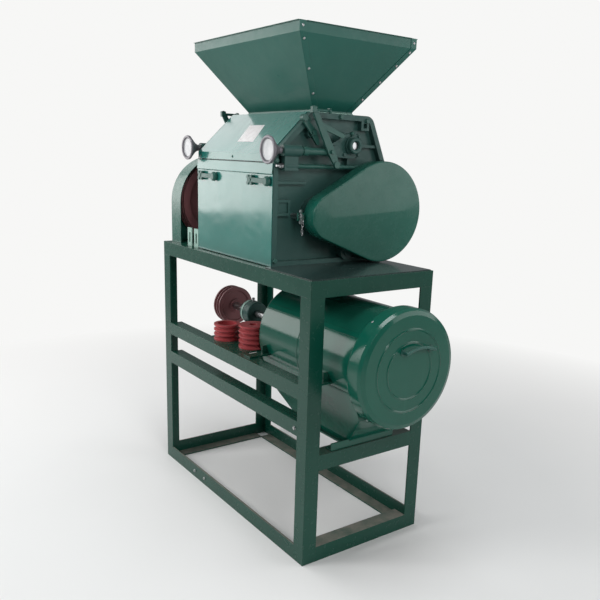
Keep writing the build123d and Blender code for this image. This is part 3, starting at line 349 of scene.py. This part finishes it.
class Shader:
    """Small helper for one node-based material."""

    def __init__(self, name):
        self.material = bpy.data.materials.new(name)
        self.material.use_nodes = True
        self.tree = self.material.node_tree
        self.surface = self.tree.nodes["Principled BSDF"]
        self.coords = self.tree.nodes.new("ShaderNodeTexCoord").outputs["Object"]

    def put(self, socket, value):
        if isinstance(value, bpy.types.NodeSocket):
            self.tree.links.new(value, socket)
        else:
            socket.default_value = value

    def noise(self, scale, detail=3.0, rough=0.55, stretch=None, distortion=0.0):
        node = self.tree.nodes.new("ShaderNodeTexNoise")
        node.inputs["Scale"].default_value = scale
        node.inputs["Detail"].default_value = detail
        node.inputs["Roughness"].default_value = rough
        node.inputs["Distortion"].default_value = distortion
        place = self.coords
        if stretch:
            mapping = self.tree.nodes.new("ShaderNodeMapping")
            mapping.inputs["Scale"].default_value = stretch
            self.put(mapping.inputs["Vector"], place)
            place = mapping.outputs["Vector"]
        self.put(node.inputs["Vector"], place)
        return node.outputs["Fac"]

    def ramp(self, value, low, high, to_low=0.0, to_high=1.0):
        node = self.tree.nodes.new("ShaderNodeMapRange")
        self.put(node.inputs["Value"], value)
        node.inputs["From Min"].default_value = low
        node.inputs["From Max"].default_value = high
        node.inputs["To Min"].default_value = to_low
        node.inputs["To Max"].default_value = to_high
        return node.outputs["Result"]

    def math(self, operation, a, b=0.0):
        node = self.tree.nodes.new("ShaderNodeMath")
        node.operation = operation
        self.put(node.inputs[0], a)
        self.put(node.inputs[1], b)
        return node.outputs[0]

    def mix(self, factor, a, b):
        node = self.tree.nodes.new("ShaderNodeMix")
        node.data_type = "RGBA"
        self.put(node.inputs["Factor"], factor)
        for name, value in (("A", a), ("B", b)):
            socket = [s for s in node.inputs if s.name == name and s.type == "RGBA"][0]
            self.put(socket, value if isinstance(value, bpy.types.NodeSocket) else (*value, 1.0))
        return [s for s in node.outputs if s.type == "RGBA"][0]

    def blend(self, factor, a, b):
        node = self.tree.nodes.new("ShaderNodeMix")
        node.data_type = "FLOAT"
        self.put(node.inputs["Factor"], factor)
        self.put([s for s in node.inputs if s.name == "A" and s.type == "VALUE"][0], a)
        self.put([s for s in node.inputs if s.name == "B" and s.type == "VALUE"][0], b)
        return [s for s in node.outputs if s.type == "VALUE"][0]

    def upward(self):
        """How much the surface faces up."""
        geometry = self.tree.nodes.new("ShaderNodeNewGeometry")
        split = self.tree.nodes.new("ShaderNodeSeparateXYZ")
        self.put(split.inputs[0], geometry.outputs["True Normal"])
        return self.ramp(split.outputs["Z"], 0.6, 0.95)

    def height(self, low, high):
        """How far up the surface is between two levels, in metres."""
        split = self.tree.nodes.new("ShaderNodeSeparateXYZ")
        self.put(split.inputs[0], self.coords)
        return self.ramp(split.outputs["Z"], low, high)

    def edges(self, radius):
        """Smoothed normal, and how near the surface is to an edge."""
        bevel = self.tree.nodes.new("ShaderNodeBevel")
        bevel.samples = 4
        bevel.inputs["Radius"].default_value = radius
        geometry = self.tree.nodes.new("ShaderNodeNewGeometry")
        dot = self.tree.nodes.new("ShaderNodeVectorMath")
        dot.operation = "DOT_PRODUCT"
        self.put(dot.inputs[0], bevel.outputs["Normal"])
        self.put(dot.inputs[1], geometry.outputs["True Normal"])
        return bevel.outputs["Normal"], self.ramp(dot.outputs["Value"], 0.99, 0.8)

    def bump(self, height, distance, strength=1.0, normal=None):
        node = self.tree.nodes.new("ShaderNodeBump")
        node.inputs["Strength"].default_value = strength
        node.inputs["Distance"].default_value = distance
        self.put(node.inputs["Height"], height)
        if normal is not None:
            self.put(node.inputs["Normal"], normal)
        return node.outputs["Normal"]

    def finish(self, colour, rough, normal=None, metallic=0.0, coat=0.0, specular=0.5):
        self.put(self.surface.inputs["Base Color"], colour)
        self.put(self.surface.inputs["Roughness"], rough)
        self.put(self.surface.inputs["Metallic"], metallic)
        self.surface.inputs["Coat Weight"].default_value = coat
        self.surface.inputs["Coat Roughness"].default_value = 0.1
        self.surface.inputs["Specular IOR Level"].default_value = specular
        if normal is not None:
            self.put(self.surface.inputs["Normal"], normal)
        return self.material


DUST = (0.24, 0.215, 0.185)
BARE_METAL = (0.2, 0.21, 0.2)


def enamel(name, colour, rough=0.3, dust=0.15, wear=0.25, dents=0.0, coat=0.1, cast=0.0, floor_dust=0.0,
           gloss=0.3):
    """Brushed or sprayed enamel: slow colour change, orange peel, dust on top and worn edges."""
    s = Shader(name)
    slow = s.noise(3.2, 4.0, 0.6)
    light = tuple(c * 1.1 + 0.004 for c in colour)
    dark = tuple(c * 0.9 for c in colour)
    base = s.mix(s.ramp(slow, 0.3, 0.7), dark, light)
    runs = s.noise(5.0, 5.0, 0.6, stretch=(9.0, 9.0, 0.7))
    base = s.mix(s.ramp(runs, 0.58, 0.82, 0.0, 0.25), base, tuple(c * 1.35 + 0.01 for c in colour))
    film = s.ramp(s.noise(11.0, 7.0, 0.7), 0.42, 0.75)
    patches = s.ramp(s.noise(26.0, 8.0, 0.72), 0.3, 0.62, 0.25, 1.0)
    tops = s.math("MULTIPLY", s.upward(), patches)
    dusty = s.math("ADD", s.math("MULTIPLY", tops, dust), s.math("MULTIPLY", film, dust * 0.2))
    if floor_dust:
        low = s.math("MULTIPLY", s.height(0.42, 0.2), s.math("MULTIPLY", tops, floor_dust))
        dusty = s.math("MAXIMUM", dusty, low)
    base = s.mix(dusty, base, DUST)
    rounded, near = s.edges(0.0016)
    scuff = s.math("MULTIPLY", near, s.ramp(s.noise(75.0, 5.0, 0.7), 0.5, 0.7))
    chips = s.ramp(s.noise(150.0, 3.0, 0.6), 0.75, 0.77)
    chips = s.math("MULTIPLY", chips, s.ramp(s.noise(6.0, 2.0, 0.5), 0.54, 0.62))
    worn = s.math("MULTIPLY", s.math("MAXIMUM", scuff, chips), wear)
    base = s.mix(worn, base, BARE_METAL)
    spread = s.noise(42.0, 6.0, 0.65)
    roughness = s.ramp(spread, 0.3, 0.7, rough * 0.8, rough * 1.25)
    roughness = s.blend(dusty, roughness, 0.85)
    normal = s.bump(s.noise(420.0, 2.0, 0.5), 0.0001, 0.5, rounded)
    if cast:
        normal = s.bump(s.noise(170.0, 5.0, 0.62), 0.0007, cast, normal)
    if dents:
        normal = s.bump(s.noise(7.0, 2.0, 0.4, distortion=0.4), 0.012, dents, normal)
    return s.finish(base, roughness, normal, coat=coat, specular=gloss)


def bare_metal(name, colour, rough, grime=0.3):
    """Turned, ground or polished metal with fine lines and some grime."""
    s = Shader(name)
    lines = s.noise(22.0, 5.0, 0.7, stretch=(1.0, 60.0, 60.0))
    dark = tuple(c * 0.72 for c in colour)
    base = s.mix(s.ramp(lines, 0.35, 0.65), dark, colour)
    dirt = s.ramp(s.noise(30.0, 7.0, 0.7), 0.45, 0.75, 0.0, grime)
    base = s.mix(dirt, base, (0.09, 0.075, 0.055))
    rounded, near = s.edges(0.0008)
    base = s.mix(s.math("MULTIPLY", near, 0.25), base, tuple(min(1.0, c * 1.3) for c in colour))
    roughness = s.blend(dirt, s.ramp(lines, 0.3, 0.7, rough * 0.75, rough * 1.35), 0.7)
    normal = s.bump(lines, 0.00015, 0.5, rounded)
    return s.finish(base, roughness, normal, metallic=1.0)


def rubber(name):
    s = Shader(name)
    base = s.mix(s.ramp(s.noise(14.0, 6.0, 0.7), 0.4, 0.7), (0.018, 0.018, 0.018), (0.075, 0.07, 0.06))
    normal = s.bump(s.noise(600.0, 2.0, 0.5), 0.0003, 0.6)
    return s.finish(base, s.ramp(s.noise(50.0, 4.0, 0.6), 0.3, 0.7, 0.55, 0.85), normal)


def label_paper(name):
    """Bare white plate with a few marks."""
    s = Shader(name)
    base = s.mix(s.ramp(s.noise(60.0, 5.0, 0.6), 0.45, 0.7), (0.78, 0.76, 0.76), (0.66, 0.62, 0.62))
    stain = s.ramp(s.noise(35.0, 7.0, 0.7), 0.55, 0.75, 0.0, 0.45)
    base = s.mix(stain, base, (0.42, 0.36, 0.34))
    return s.finish(base, s.ramp(s.noise(80.0, 3.0, 0.5), 0.3, 0.7, 0.35, 0.55),
                    s.bump(s.noise(300.0, 2.0, 0.5), 0.0001, 0.5))


def handwheel_metal(name):
    """White polished face, and a dark grey cone behind it."""
    s = Shader(name)
    split = s.tree.nodes.new("ShaderNodeSeparateXYZ")
    s.put(split.inputs[0], s.coords)
    front = s.ramp(split.outputs["Y"], WHEEL_FACE_EDGE, WHEEL_FACE_EDGE - 0.0004)
    left, right = (metres((x, 0.0, 0.0)).x for x in (LEFT_ADJUSTER_X, RIGHT_ADJUSTER_X))
    from_middle = s.math("ABSOLUTE", s.math("SUBTRACT", split.outputs["X"], (left + right) / 2))
    across = s.math("POWER", s.math("SUBTRACT", from_middle, (right - left) / 2), 2.0)
    up = s.math("POWER", s.math("SUBTRACT", split.outputs["Z"], ADJUSTER_Z * MM), 2.0)
    radius = s.math("SQRT", s.math("ADD", across, up))
    front = s.math("MULTIPLY", front, s.ramp(radius, WHEEL_FACE_RADIUS + 0.0005, WHEEL_FACE_RADIUS))
    cloud = s.ramp(s.noise(45.0, 5.0, 0.6), 0.35, 0.7)
    face = s.mix(cloud, (0.46, 0.47, 0.48), (0.33, 0.35, 0.36))
    cone = s.mix(cloud, (0.13, 0.125, 0.14), (0.20, 0.19, 0.21))
    base = s.mix(front, cone, face)
    rough = s.blend(front, 0.42, 0.28)
    rounded = s.edges(0.0012)[0]
    normal = s.bump(s.noise(260.0, 3.0, 0.5), 0.0001, 0.5, rounded)
    return s.finish(base, rough, normal, metallic=s.blend(front, 0.35, 0.15), coat=0.2)


def floor_paint(name, colour):
    """Pale studio floor that ends in the plain backdrop colour away from the object."""
    s = Shader(name)
    base = s.mix(s.ramp(s.noise(1.5, 3.0, 0.5), 0.3, 0.7), colour, tuple(c * 0.985 for c in colour))
    material = s.finish(base, 0.75, specular=0.2)
    tree = s.tree
    length = tree.nodes.new("ShaderNodeVectorMath")
    length.operation = "LENGTH"
    s.put(length.inputs[0], s.coords)
    far = s.ramp(length.outputs["Value"], FLOOR_NEAR, FLOOR_FAR)
    rays = tree.nodes.new("ShaderNodeLightPath")
    mirrored = s.math("MULTIPLY", rays.outputs["Is Glossy Ray"], FLOOR_IN_GLOSS)
    seen = s.math("MAXIMUM", rays.outputs["Is Camera Ray"], mirrored)
    glow = tree.nodes.new("ShaderNodeEmission")
    glow.inputs["Color"].default_value = (*BACKDROP, 1.0)
    blend = tree.nodes.new("ShaderNodeMixShader")
    s.put(blend.inputs[0], s.math("MULTIPLY", far, seen))
    s.put(blend.inputs[1], s.surface.outputs[0])
    s.put(blend.inputs[2], glow.outputs[0])
    s.put(tree.nodes["Material Output"].inputs["Surface"], blend.outputs[0])
    return material


MATERIALS = {
    "frame_green": enamel("frame_green", (0.002, 0.056, 0.036), rough=0.24, dust=0.04, coat=0.06, wear=0.3,
                          floor_dust=0.75),
    "casting_green": enamel("casting_green", (0.026, 0.085, 0.074), rough=0.42, dust=0.12, wear=0.15,
                            cast=0.3, coat=0.05),
    "panel_green": enamel("panel_green", (0.014, 0.17, 0.14), rough=0.2, dust=0.06, wear=0.15, dents=0.3,
                          coat=0.7, gloss=0.4),
    "hopper_green": enamel("hopper_green", (0.01, 0.105, 0.08), rough=0.34, dust=0.12, wear=0.25, dents=0.1),
    "guard_green": enamel("guard_green", (0.004, 0.095, 0.066), rough=0.26, dust=0.06, wear=0.15, dents=0.08,
                          gloss=0.4),
    "drum_green": enamel("drum_green", (0.001, 0.085, 0.055), rough=0.16, dust=0.03, wear=0.15, dents=0.08,
                         coat=0.25),
    "table_dark": enamel("table_dark", (0.01, 0.032, 0.03), rough=0.2, dust=0.05, wear=0.1, coat=0.3),
    "lever_green": enamel("lever_green", (0.022, 0.10, 0.08), rough=0.34, dust=0.12, wear=0.5, cast=0.15),
    "bracket_pale": enamel("bracket_pale", (0.3, 0.48, 0.41), rough=0.4, dust=0.12, wear=0.3),
    "pulley_maroon": enamel("pulley_maroon", (0.22, 0.082, 0.088), rough=0.42, dust=0.15, wear=0.3,
                            cast=0.3),
    "pulley_red": enamel("pulley_red", (0.40, 0.052, 0.06), rough=0.42, dust=0.12, wear=0.3, cast=0.3),
    "wheel_chrome": handwheel_metal("wheel_chrome"),
    "roll_iron": bare_metal("roll_iron", (0.42, 0.42, 0.43), rough=0.3),
    "gear_iron": bare_metal("gear_iron", (0.3, 0.3, 0.31), rough=0.4, grime=0.6),
    "shaft_steel": bare_metal("shaft_steel", (0.55, 0.56, 0.57), rough=0.28),
    "screen_steel": bare_metal("screen_steel", (0.6, 0.6, 0.6), rough=0.35, grime=0.2),
    "belt_rubber": rubber("belt_rubber"),
}


def dress_nodes():
    """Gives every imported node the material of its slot."""
    for part in frame["record"]["subparts"]:
        obj = nodes[part["node"]]
        obj.data.materials.clear()
        obj.data.materials.append(MATERIALS[part["material_slot"]])


def camera():
    azimuth, down, roll = (math.radians(a) for a in (CAMERA_AZIMUTH, CAMERA_DOWN, CAMERA_ROLL))
    flat = math.cos(down)
    ahead = Vector((-math.sin(azimuth) * flat, math.cos(azimuth) * flat, -math.sin(down)))
    level = Vector((math.cos(azimuth), math.sin(azimuth), 0.0))
    above = level.cross(ahead)
    right = level * math.cos(roll) + above * math.sin(roll)
    up = above * math.cos(roll) - level * math.sin(roll)
    data = bpy.data.cameras.new("photo_camera")
    data.sensor_width = SENSOR
    data.lens = SENSOR * FOCAL_PIXELS / IMAGE_PIXELS
    data.shift_x = (IMAGE_PIXELS / 2 - MIDDLE_PIXEL[0]) / IMAGE_PIXELS
    data.shift_y = (MIDDLE_PIXEL[1] - IMAGE_PIXELS / 2) / IMAGE_PIXELS
    data.clip_start, data.clip_end = 0.05, 60.0
    obj = bpy.data.objects.new("photo_camera", data)
    bpy.context.scene.collection.objects.link(obj)
    turn = Matrix((right, up, -ahead)).transposed().to_4x4()
    obj.matrix_world = Matrix.Translation(metres(CAMERA_PLACE)) @ turn
    bpy.context.scene.camera = obj


def lamp(name, place, target, size, brightness, colour):
    """Soft box whose face has a given brightness, where 1 shows as white."""
    data = bpy.data.lights.new(name, "AREA")
    data.shape = "RECTANGLE"
    data.size, data.size_y = size
    data.energy = brightness * math.pi * size[0] * size[1]
    data.color = colour
    obj = bpy.data.objects.new(name, data)
    bpy.context.scene.collection.objects.link(obj)
    obj.location = place
    obj.rotation_mode = "QUATERNION"
    obj.rotation_quaternion = (Vector(target) - Vector(place)).to_track_quat("-Z", "Y")


def studio():
    half = FLOOR_HALF
    corners = [(-half, -half, 0), (half, -half, 0), (half, half, 0), (-half, half, 0)]
    mesh = bpy.data.meshes.new("floor")
    mesh.from_pydata(corners, [], [(0, 1, 2, 3)])
    floor = bpy.data.objects.new("floor", mesh)
    bpy.context.scene.collection.objects.link(floor)
    mesh.materials.append(floor_paint("pale_floor", FLOOR_COLOUR))

    world = bpy.data.worlds.new("studio_world")
    bpy.context.scene.world = world
    world.use_nodes = True
    tree = world.node_tree
    ground = tree.nodes["Background"]
    ground.inputs["Color"].default_value = (*WORLD_COLOUR, 1.0)
    ground.inputs["Strength"].default_value = WORLD_STRENGTH
    seen = tree.nodes.new("ShaderNodeBackground")
    seen.inputs["Color"].default_value = (*BACKDROP, 1.0)
    rays = tree.nodes.new("ShaderNodeLightPath")
    choose = tree.nodes.new("ShaderNodeMixShader")
    tree.links.new(rays.outputs["Is Camera Ray"], choose.inputs[0])
    tree.links.new(ground.outputs[0], choose.inputs[1])
    tree.links.new(seen.outputs[0], choose.inputs[2])
    tree.links.new(choose.outputs[0], tree.nodes["World Output"].inputs["Surface"])

    for row in LAMPS:
        lamp(*row)
    bpy.context.scene.view_settings.view_transform = "Standard"


def hull_ring(inset, x_of):
    """Ring round the two gears at an inset from the guard's outline; x_of gives each point's x."""
    (ya, za), (yb, zb) = FAST, SLOW
    base = math.atan2(zb - za, yb - ya)
    reach = math.hypot(yb - ya, zb - za)
    spread = math.acos((GUARD_SMALL - GUARD_LARGE) / reach)
    ring = []
    for y, z, radius, first, last, count in ((yb, zb, GUARD_LARGE, -spread, spread, 64),
                                             (ya, za, GUARD_SMALL, spread, math.tau - spread, 32)):
        for k in range(count + 1):
            turn = base + first + (last - first) * k / count
            py = y + (radius - inset) * math.cos(turn)
            pz = z + (radius - inset) * math.sin(turn)
            ring.append((x_of(py, pz), py, pz))
    return ring


def crease_point(y, z):
    """Nearest point on the crease, which runs along the line through both shafts."""
    (ya, za), (yb, zb) = FAST, SLOW
    reach = math.hypot(yb - ya, zb - za)
    dy, dz = (yb - ya) / reach, (zb - za) / reach
    along = (y - ya) * dy + (z - za) * dz
    along = max(0.0, min(along, reach + GUARD_LARGE - GUARD_SMALL))
    return ya + dy * along, za + dz * along


def crease_distance(y, z):
    py, pz = crease_point(y, z)
    return math.hypot(y - py, z - pz)


def gear_guard():
    """Sheet pan over the gears: rolled edge, small dent, and a face creased between the shafts."""

    def face_x(y, z, sunk):
        away = (y - DENT_PLACE[0]) ** 2 + (z - DENT_PLACE[1]) ** 2
        dent = DENT_DEPTH * math.exp(-away / DENT_SPREAD)
        return GUARD_FACE - GUARD_CREASE * crease_distance(y, z) / GUARD_LARGE - dent - sunk

    def edge_ring(inset, turn, sunk):
        drop = GUARD_EDGE * (1 - math.sin(turn))
        return hull_ring(inset + GUARD_EDGE * (1 - math.cos(turn)), lambda y, z: face_x(y, z, sunk) - drop)

    def skin(inset, sunk):
        rings = [hull_ring(inset, lambda y, z: GUARD_BACK)]
        for k in range(5):
            rings.append(edge_ring(inset, math.pi / 2 * k / 4, sunk))
        for step in (12.0, 22.0, 34.0, 48.0, 60.0, 70.0):
            rings.append(hull_ring(inset + step, lambda y, z: face_x(y, z, sunk)))
        last = rings[-1]
        for share in (0.34, 0.67, 1.0):
            ring = []
            for _, y, z in last:
                cy, cz = crease_point(y, z)
                py, pz = y + (cy - y) * share, z + (cz - z) * share
                ring.append((face_x(py, pz, sunk), py, pz))
            rings.append(ring)
        return rings

    guard = Piece("gear_guard_pan")
    outer = skin(0.0, 0.0)
    inner = skin(GUARD_SHEET, GUARD_SHEET)
    guard.skin(outer[::-1] + inner, start_cap=False, end_cap=False)
    tab_low = (GUARD_BACK, STAY_Y - TAB_HALF, FAST[1] - TAB_HALF)
    tab_high = (GUARD_BACK + 3, TAB_END_Y, FAST[1] + TAB_HALF)
    guard.block(tab_low, tab_high, 1.0)
    pan = guard.finish("stand", "guard_green", MATERIALS["guard_green"], 40, replaces=["gear_guard"])
    places = [Vector(vert.co) / MM + REACH_CENTRE for vert in pan.data.vertices]
    on_crease = [crease_distance(place.y, place.z) < 0.05 for place in places]
    for line in pan.data.edges:
        line.use_edge_sharp = line.use_edge_sharp or all(on_crease[k] for k in line.vertices)


def hopper_normal(side):
    lean = (HOPPER_TOP[0] - HOPPER_FOOT[0]) / (HOPPER_TOP[2] - HOPPER_BAND - HOPPER_FOOT[2])
    return Vector((side, 0, -lean)).normalized()


def hopper_fasteners():
    """Screws down the laps of the end sheets."""
    screws = Piece("hopper_screws")
    lean_top = HOPPER_TOP[2] - HOPPER_BAND
    for side in (-1, 1):
        for end, levels in ((-1, FRONT_SCREW_LEVELS), (1, BACK_SCREW_LEVELS)):
            for z in levels:
                share = min(1.0, (z - HOPPER_FOOT[2]) / (lean_top - HOPPER_FOOT[2]))
                half_x = HOPPER_FOOT[0] + (HOPPER_TOP[0] - HOPPER_FOOT[0]) * share
                half_y = HOPPER_FOOT[1] + (HOPPER_TOP[1] - HOPPER_FOOT[1]) * share
                direction = hopper_normal(side) if z < lean_top else Vector((side, 0, 0))
                place = (side * (half_x + HOPPER_LAP), HOPPER_Y + end * (half_y - HOPPER_SCREW_INSET), z)
                screws.aimed(place, direction, Piece("part").screw((0, 0, 0), "x", 1, 4.2))
    screws.finish("stand", "shaft_steel", MATERIALS["shaft_steel"])


def hopper_collar():
    """Pale strip of bare edge round the hopper's foot, where its flange lies on the mill."""
    collar = Piece("hopper_collar")
    half_x = HOPPER_FOOT[0] + 3.0
    half_y = HOPPER_FOOT[1] + 3.0
    z = BODY_TOP + 3.2
    corners = [(-half_x, HOPPER_Y - half_y, z), (half_x, HOPPER_Y - half_y, z),
               (half_x, HOPPER_Y + half_y, z), (-half_x, HOPPER_Y + half_y, z)]
    for a, b in zip(corners, corners[1:] + corners[:1]):
        collar.tube([a, b], 2.6, 8)
    collar.finish("stand", "bracket_pale", MATERIALS["bracket_pale"])


def label_plate():
    """Bare white label on the sloped cover."""
    slope = Vector((0, COVER_TOP_Y - FRONT_Y, BODY_TOP - COVER_FOOT_Z))
    out = Vector((0, -slope.z, slope.y)).normalized()
    foot = Vector((0, FRONT_Y, COVER_FOOT_Z)) + out * 2.0
    low = [tuple(foot + Vector((x, 0, 0)) + slope * share) for x, share in LABEL_CORNERS]
    high = [tuple(Vector(p) + out * 0.5) for p in low]
    Piece("label_plate").skin([low, high]).finish("stand", "bracket_pale", label_paper("label_paper"))


def mill_fasteners():
    """Bolts of the castings and the left roll bearing, and screws of the cover."""
    bolts = Piece("mill_bolts")
    for side, face in ENDS:
        for y, z, turn in CASTING_BOLTS:
            bolts.bolt((face, y, z), "x", side, 8.0, turn)
        if side > 0:
            continue
        for k in range(4):
            angle = math.pi / 4 + math.pi / 2 * k
            y = FAST[0] + BEARING_BOLT_CIRCLE * math.cos(angle)
            z = FAST[1] + BEARING_BOLT_CIRCLE * math.sin(angle)
            bolts.bolt((face - BEARING_FACE, y, z), "x", -1, 7.0, 0.3 * k, washer=False)
    for x in COVER_SCREW_XS:
        bolts.screw((x, FRONT_Y - 2.0, COVER_FOOT_Z - 11), "y", -1, 4.0)
    bolts.finish("stand", "lever_green", MATERIALS["lever_green"])


def end_parts():
    """Small pieces on both ends of the mill: stop screws, hubs of the feed roll and grease cups."""
    y, z = STOP_PLACE
    hard = Piece("adjuster_nuts")
    for side, face in ENDS:
        x = face + side * STOP_OFFSET
        hard.bolt((x, y + 12, z), "y", -1, 9.0, 0.3)
        hard.lathe([(0, 0), (0, 4.5), (-24, 4.5), (-25.5, 3.2), (-25.5, 0)], (x, y + 12, z), "y", 16)
        hard.bolt((x, y + 2, z), "y", -1, 8.0, 0.1, washer=False)
    hard.finish("stand", "shaft_steel", MATERIALS["shaft_steel"])

    hubs = Piece("feed_bearing_hubs")
    for side, face in ENDS:
        hubs.lathe([(side * 17, 13), (side * 17, 25), (side * 31, 25), (side * 34, 22), (side * 34, 16),
                    (side * 31, 13)], (face, *FEED), "x", 40, loop=True)
    hubs.finish("stand", "casting_green", MATERIALS["casting_green"])

    cups = Piece("grease_cups")
    for side, face in ENDS:
        cups.lathe([(0, 4), (6, 4), (6, 7), (14, 7), (16, 5), (16, 0)],
                   (face + side * 9, FEED[0], FEED[1] + 27), "z", 16)
    cups.finish("stand", "lever_green", MATERIALS["lever_green"])


def guard_chain():
    """Short chain that hangs from the wing nut on the guard's nose."""
    links = 6
    pitch = 9.0
    half_width = 3.2
    half_height = 6.0
    sway = 1.2
    wire = 1.1
    chain = Piece("guard_chain")
    x, y, z = CHAIN_TOP
    for k in range(links):
        points = []
        for j in range(17):
            turn = math.tau * j / 16
            wide = half_width * math.cos(turn)
            tall = half_height * math.sin(turn)
            along_x, along_y = (wide, 0.0) if k % 2 else (0.0, wide)
            points.append((x + along_x, y + along_y + sway * math.sin(k * 1.3), z - pitch * k + tall))
        chain.tube(points, wire, 8)
    chain.finish("stand", "shaft_steel", MATERIALS["shaft_steel"])


def stand_welds():
    """Weld beads where the angle irons meet."""
    beads = Piece("stand_welds")
    top = STAND_TOP - ANGLE
    for sx in (-1, 1):
        for sy in (-1, 1):
            x, y = sx * (HALF_LENGTH - WELD_SINK), sy * (HALF_DEPTH - WELD_SINK)
            inner_x, inner_y = x - sx * ANGLE, y - sy * ANGLE
            runs = [((x, y, top), (inner_x, y, top), WELD_RADIUS),
                    ((x, y, top), (x, inner_y, top), WELD_RADIUS),
                    ((inner_x, y, ANGLE), (inner_x, y, WELD_FOOT), WELD_RADIUS),
                    ((x, inner_y, ANGLE), (x, inner_y, WELD_FOOT), WELD_RADIUS),
                    ((x, y, TOP_WELD_Z), (inner_x, inner_y, TOP_WELD_Z), TOP_WELD_RADIUS),
                    ((inner_x, y, SHELF_TOP), (inner_x, y, SHELF_TOP - RAIL_SEAM), WELD_RADIUS)]
            if sy < 0:
                seam = (inner_x, y, LOWER_RAIL_TOP - RAIL_SEAM)
                runs.append(((inner_x, y, LOWER_RAIL_TOP), seam, WELD_RADIUS))
            if sx > 0:
                seam = (x, inner_y, END_RAIL_TOP - END_RAIL_SEAM)
                runs.append(((x, inner_y, END_RAIL_TOP), seam, WELD_RADIUS))
            for start, end, radius in runs:
                beads.bead(start, end, radius)
    beads.finish("stand", "frame_green", MATERIALS["frame_green"], 60)


def drum_details():
    """Rolled bead and seam of the sieve's casing, and the screws of its cap."""
    y, z = DRUM
    sunk = DRUM_RADIUS - 0.2
    proud = DRUM_RADIUS + 1.1
    beads = Piece("drum_beads")
    beads.lathe([(-3, sunk), (-1.5, proud), (1.5, proud), (3, sunk)], (CASING_BEAD_X, y, z), "x", 96,
                loop=True)
    seam = math.radians(SEAM_ANGLE)
    foot = Vector((0, -math.cos(seam), math.sin(seam)))
    cross = Vector((0, math.sin(seam), math.cos(seam)))
    lap = foot * SEAM_PROUD
    rings = []
    for x in (SEAM_LEFT, SEAM_RIGHT):
        place = Vector((x, y, z)) + foot * sunk
        rings.append([tuple(place - cross * 9), tuple(place - cross * 8 + lap),
                      tuple(place + cross * 8 + lap), tuple(place + cross * 9)])
    beads.skin(rings)
    beads.finish("stand", "drum_green", MATERIALS["drum_green"], 50)

    screws = Piece("drum_screws")
    for angle in CAP_SCREW_ANGLES:
        turn = math.radians(angle)
        out = Vector((0, math.cos(turn), math.sin(turn)))
        place = Vector((CAP_FACE - 50, y, z)) + out * CAP_RADIUS
        screws.aimed(place, out, Piece("part").screw((0, 0, 0), "x", 1, 3.6))
    screws.finish("drum_cap", "shaft_steel", MATERIALS["shaft_steel"])


def bearing_details():
    """Bolts and grease cup of the pedestal bearing, with the pale band on its cap."""
    y, z = DRUM
    hard = Piece("bearing_bolts")
    for side in (-1, 1):
        hard.bolt((BEARING_X, y + side * BEARING_BOLT_HALF, SHELF_TOP + 12), "z", 1, 10.0, 0.4)
    cup = [(0, 4), (5, 4), (5, 6.5), (12, 6.5), (14, 4), (14, 0)]
    hard.lathe(cup, (BEARING_X, y, z + BEARING_TOP), "z", 16)
    hard.finish("stand", "shaft_steel", MATERIALS["shaft_steel"])
    band = Piece("bearing_band")
    band.lathe([(-5, 44.2), (-5, 45.4), (5, 45.4), (5, 44.2)], (BAND_X, y, z), "x", 64, loop=True)
    band.finish("stand", "bracket_pale", MATERIALS["bracket_pale"], 40)


def rail_bolts():
    """Bolts on the front rails and the table, where other gear can be fixed."""
    bolts = Piece("rail_bolts")
    bolts.bolt((RAIL_BOLT[0], -HALF_DEPTH, RAIL_BOLT[1]), "y", -1, 5.5, 0.3)
    for x in BASE_BOLT_XS:
        bolts.bolt((x, -HALF_DEPTH, BASE_BOLT_Z), "y", -1, 5.5, 0.1)
    for y in TABLE_BOLT_YS:
        for side, face in ENDS:
            bolts.bolt((face + side * TABLE_BOLT_OFFSET, y, TABLE_BOLT_Z), "z", -1, 9.0, 0.2)
    bolts.finish("stand", "shaft_steel", MATERIALS["shaft_steel"])


camera()
studio()
dress_nodes()
for make in (gear_guard, hopper_fasteners, hopper_collar, label_plate, mill_fasteners, end_parts,
             guard_chain, stand_welds, drum_details, bearing_details, rail_bolts):
    make()
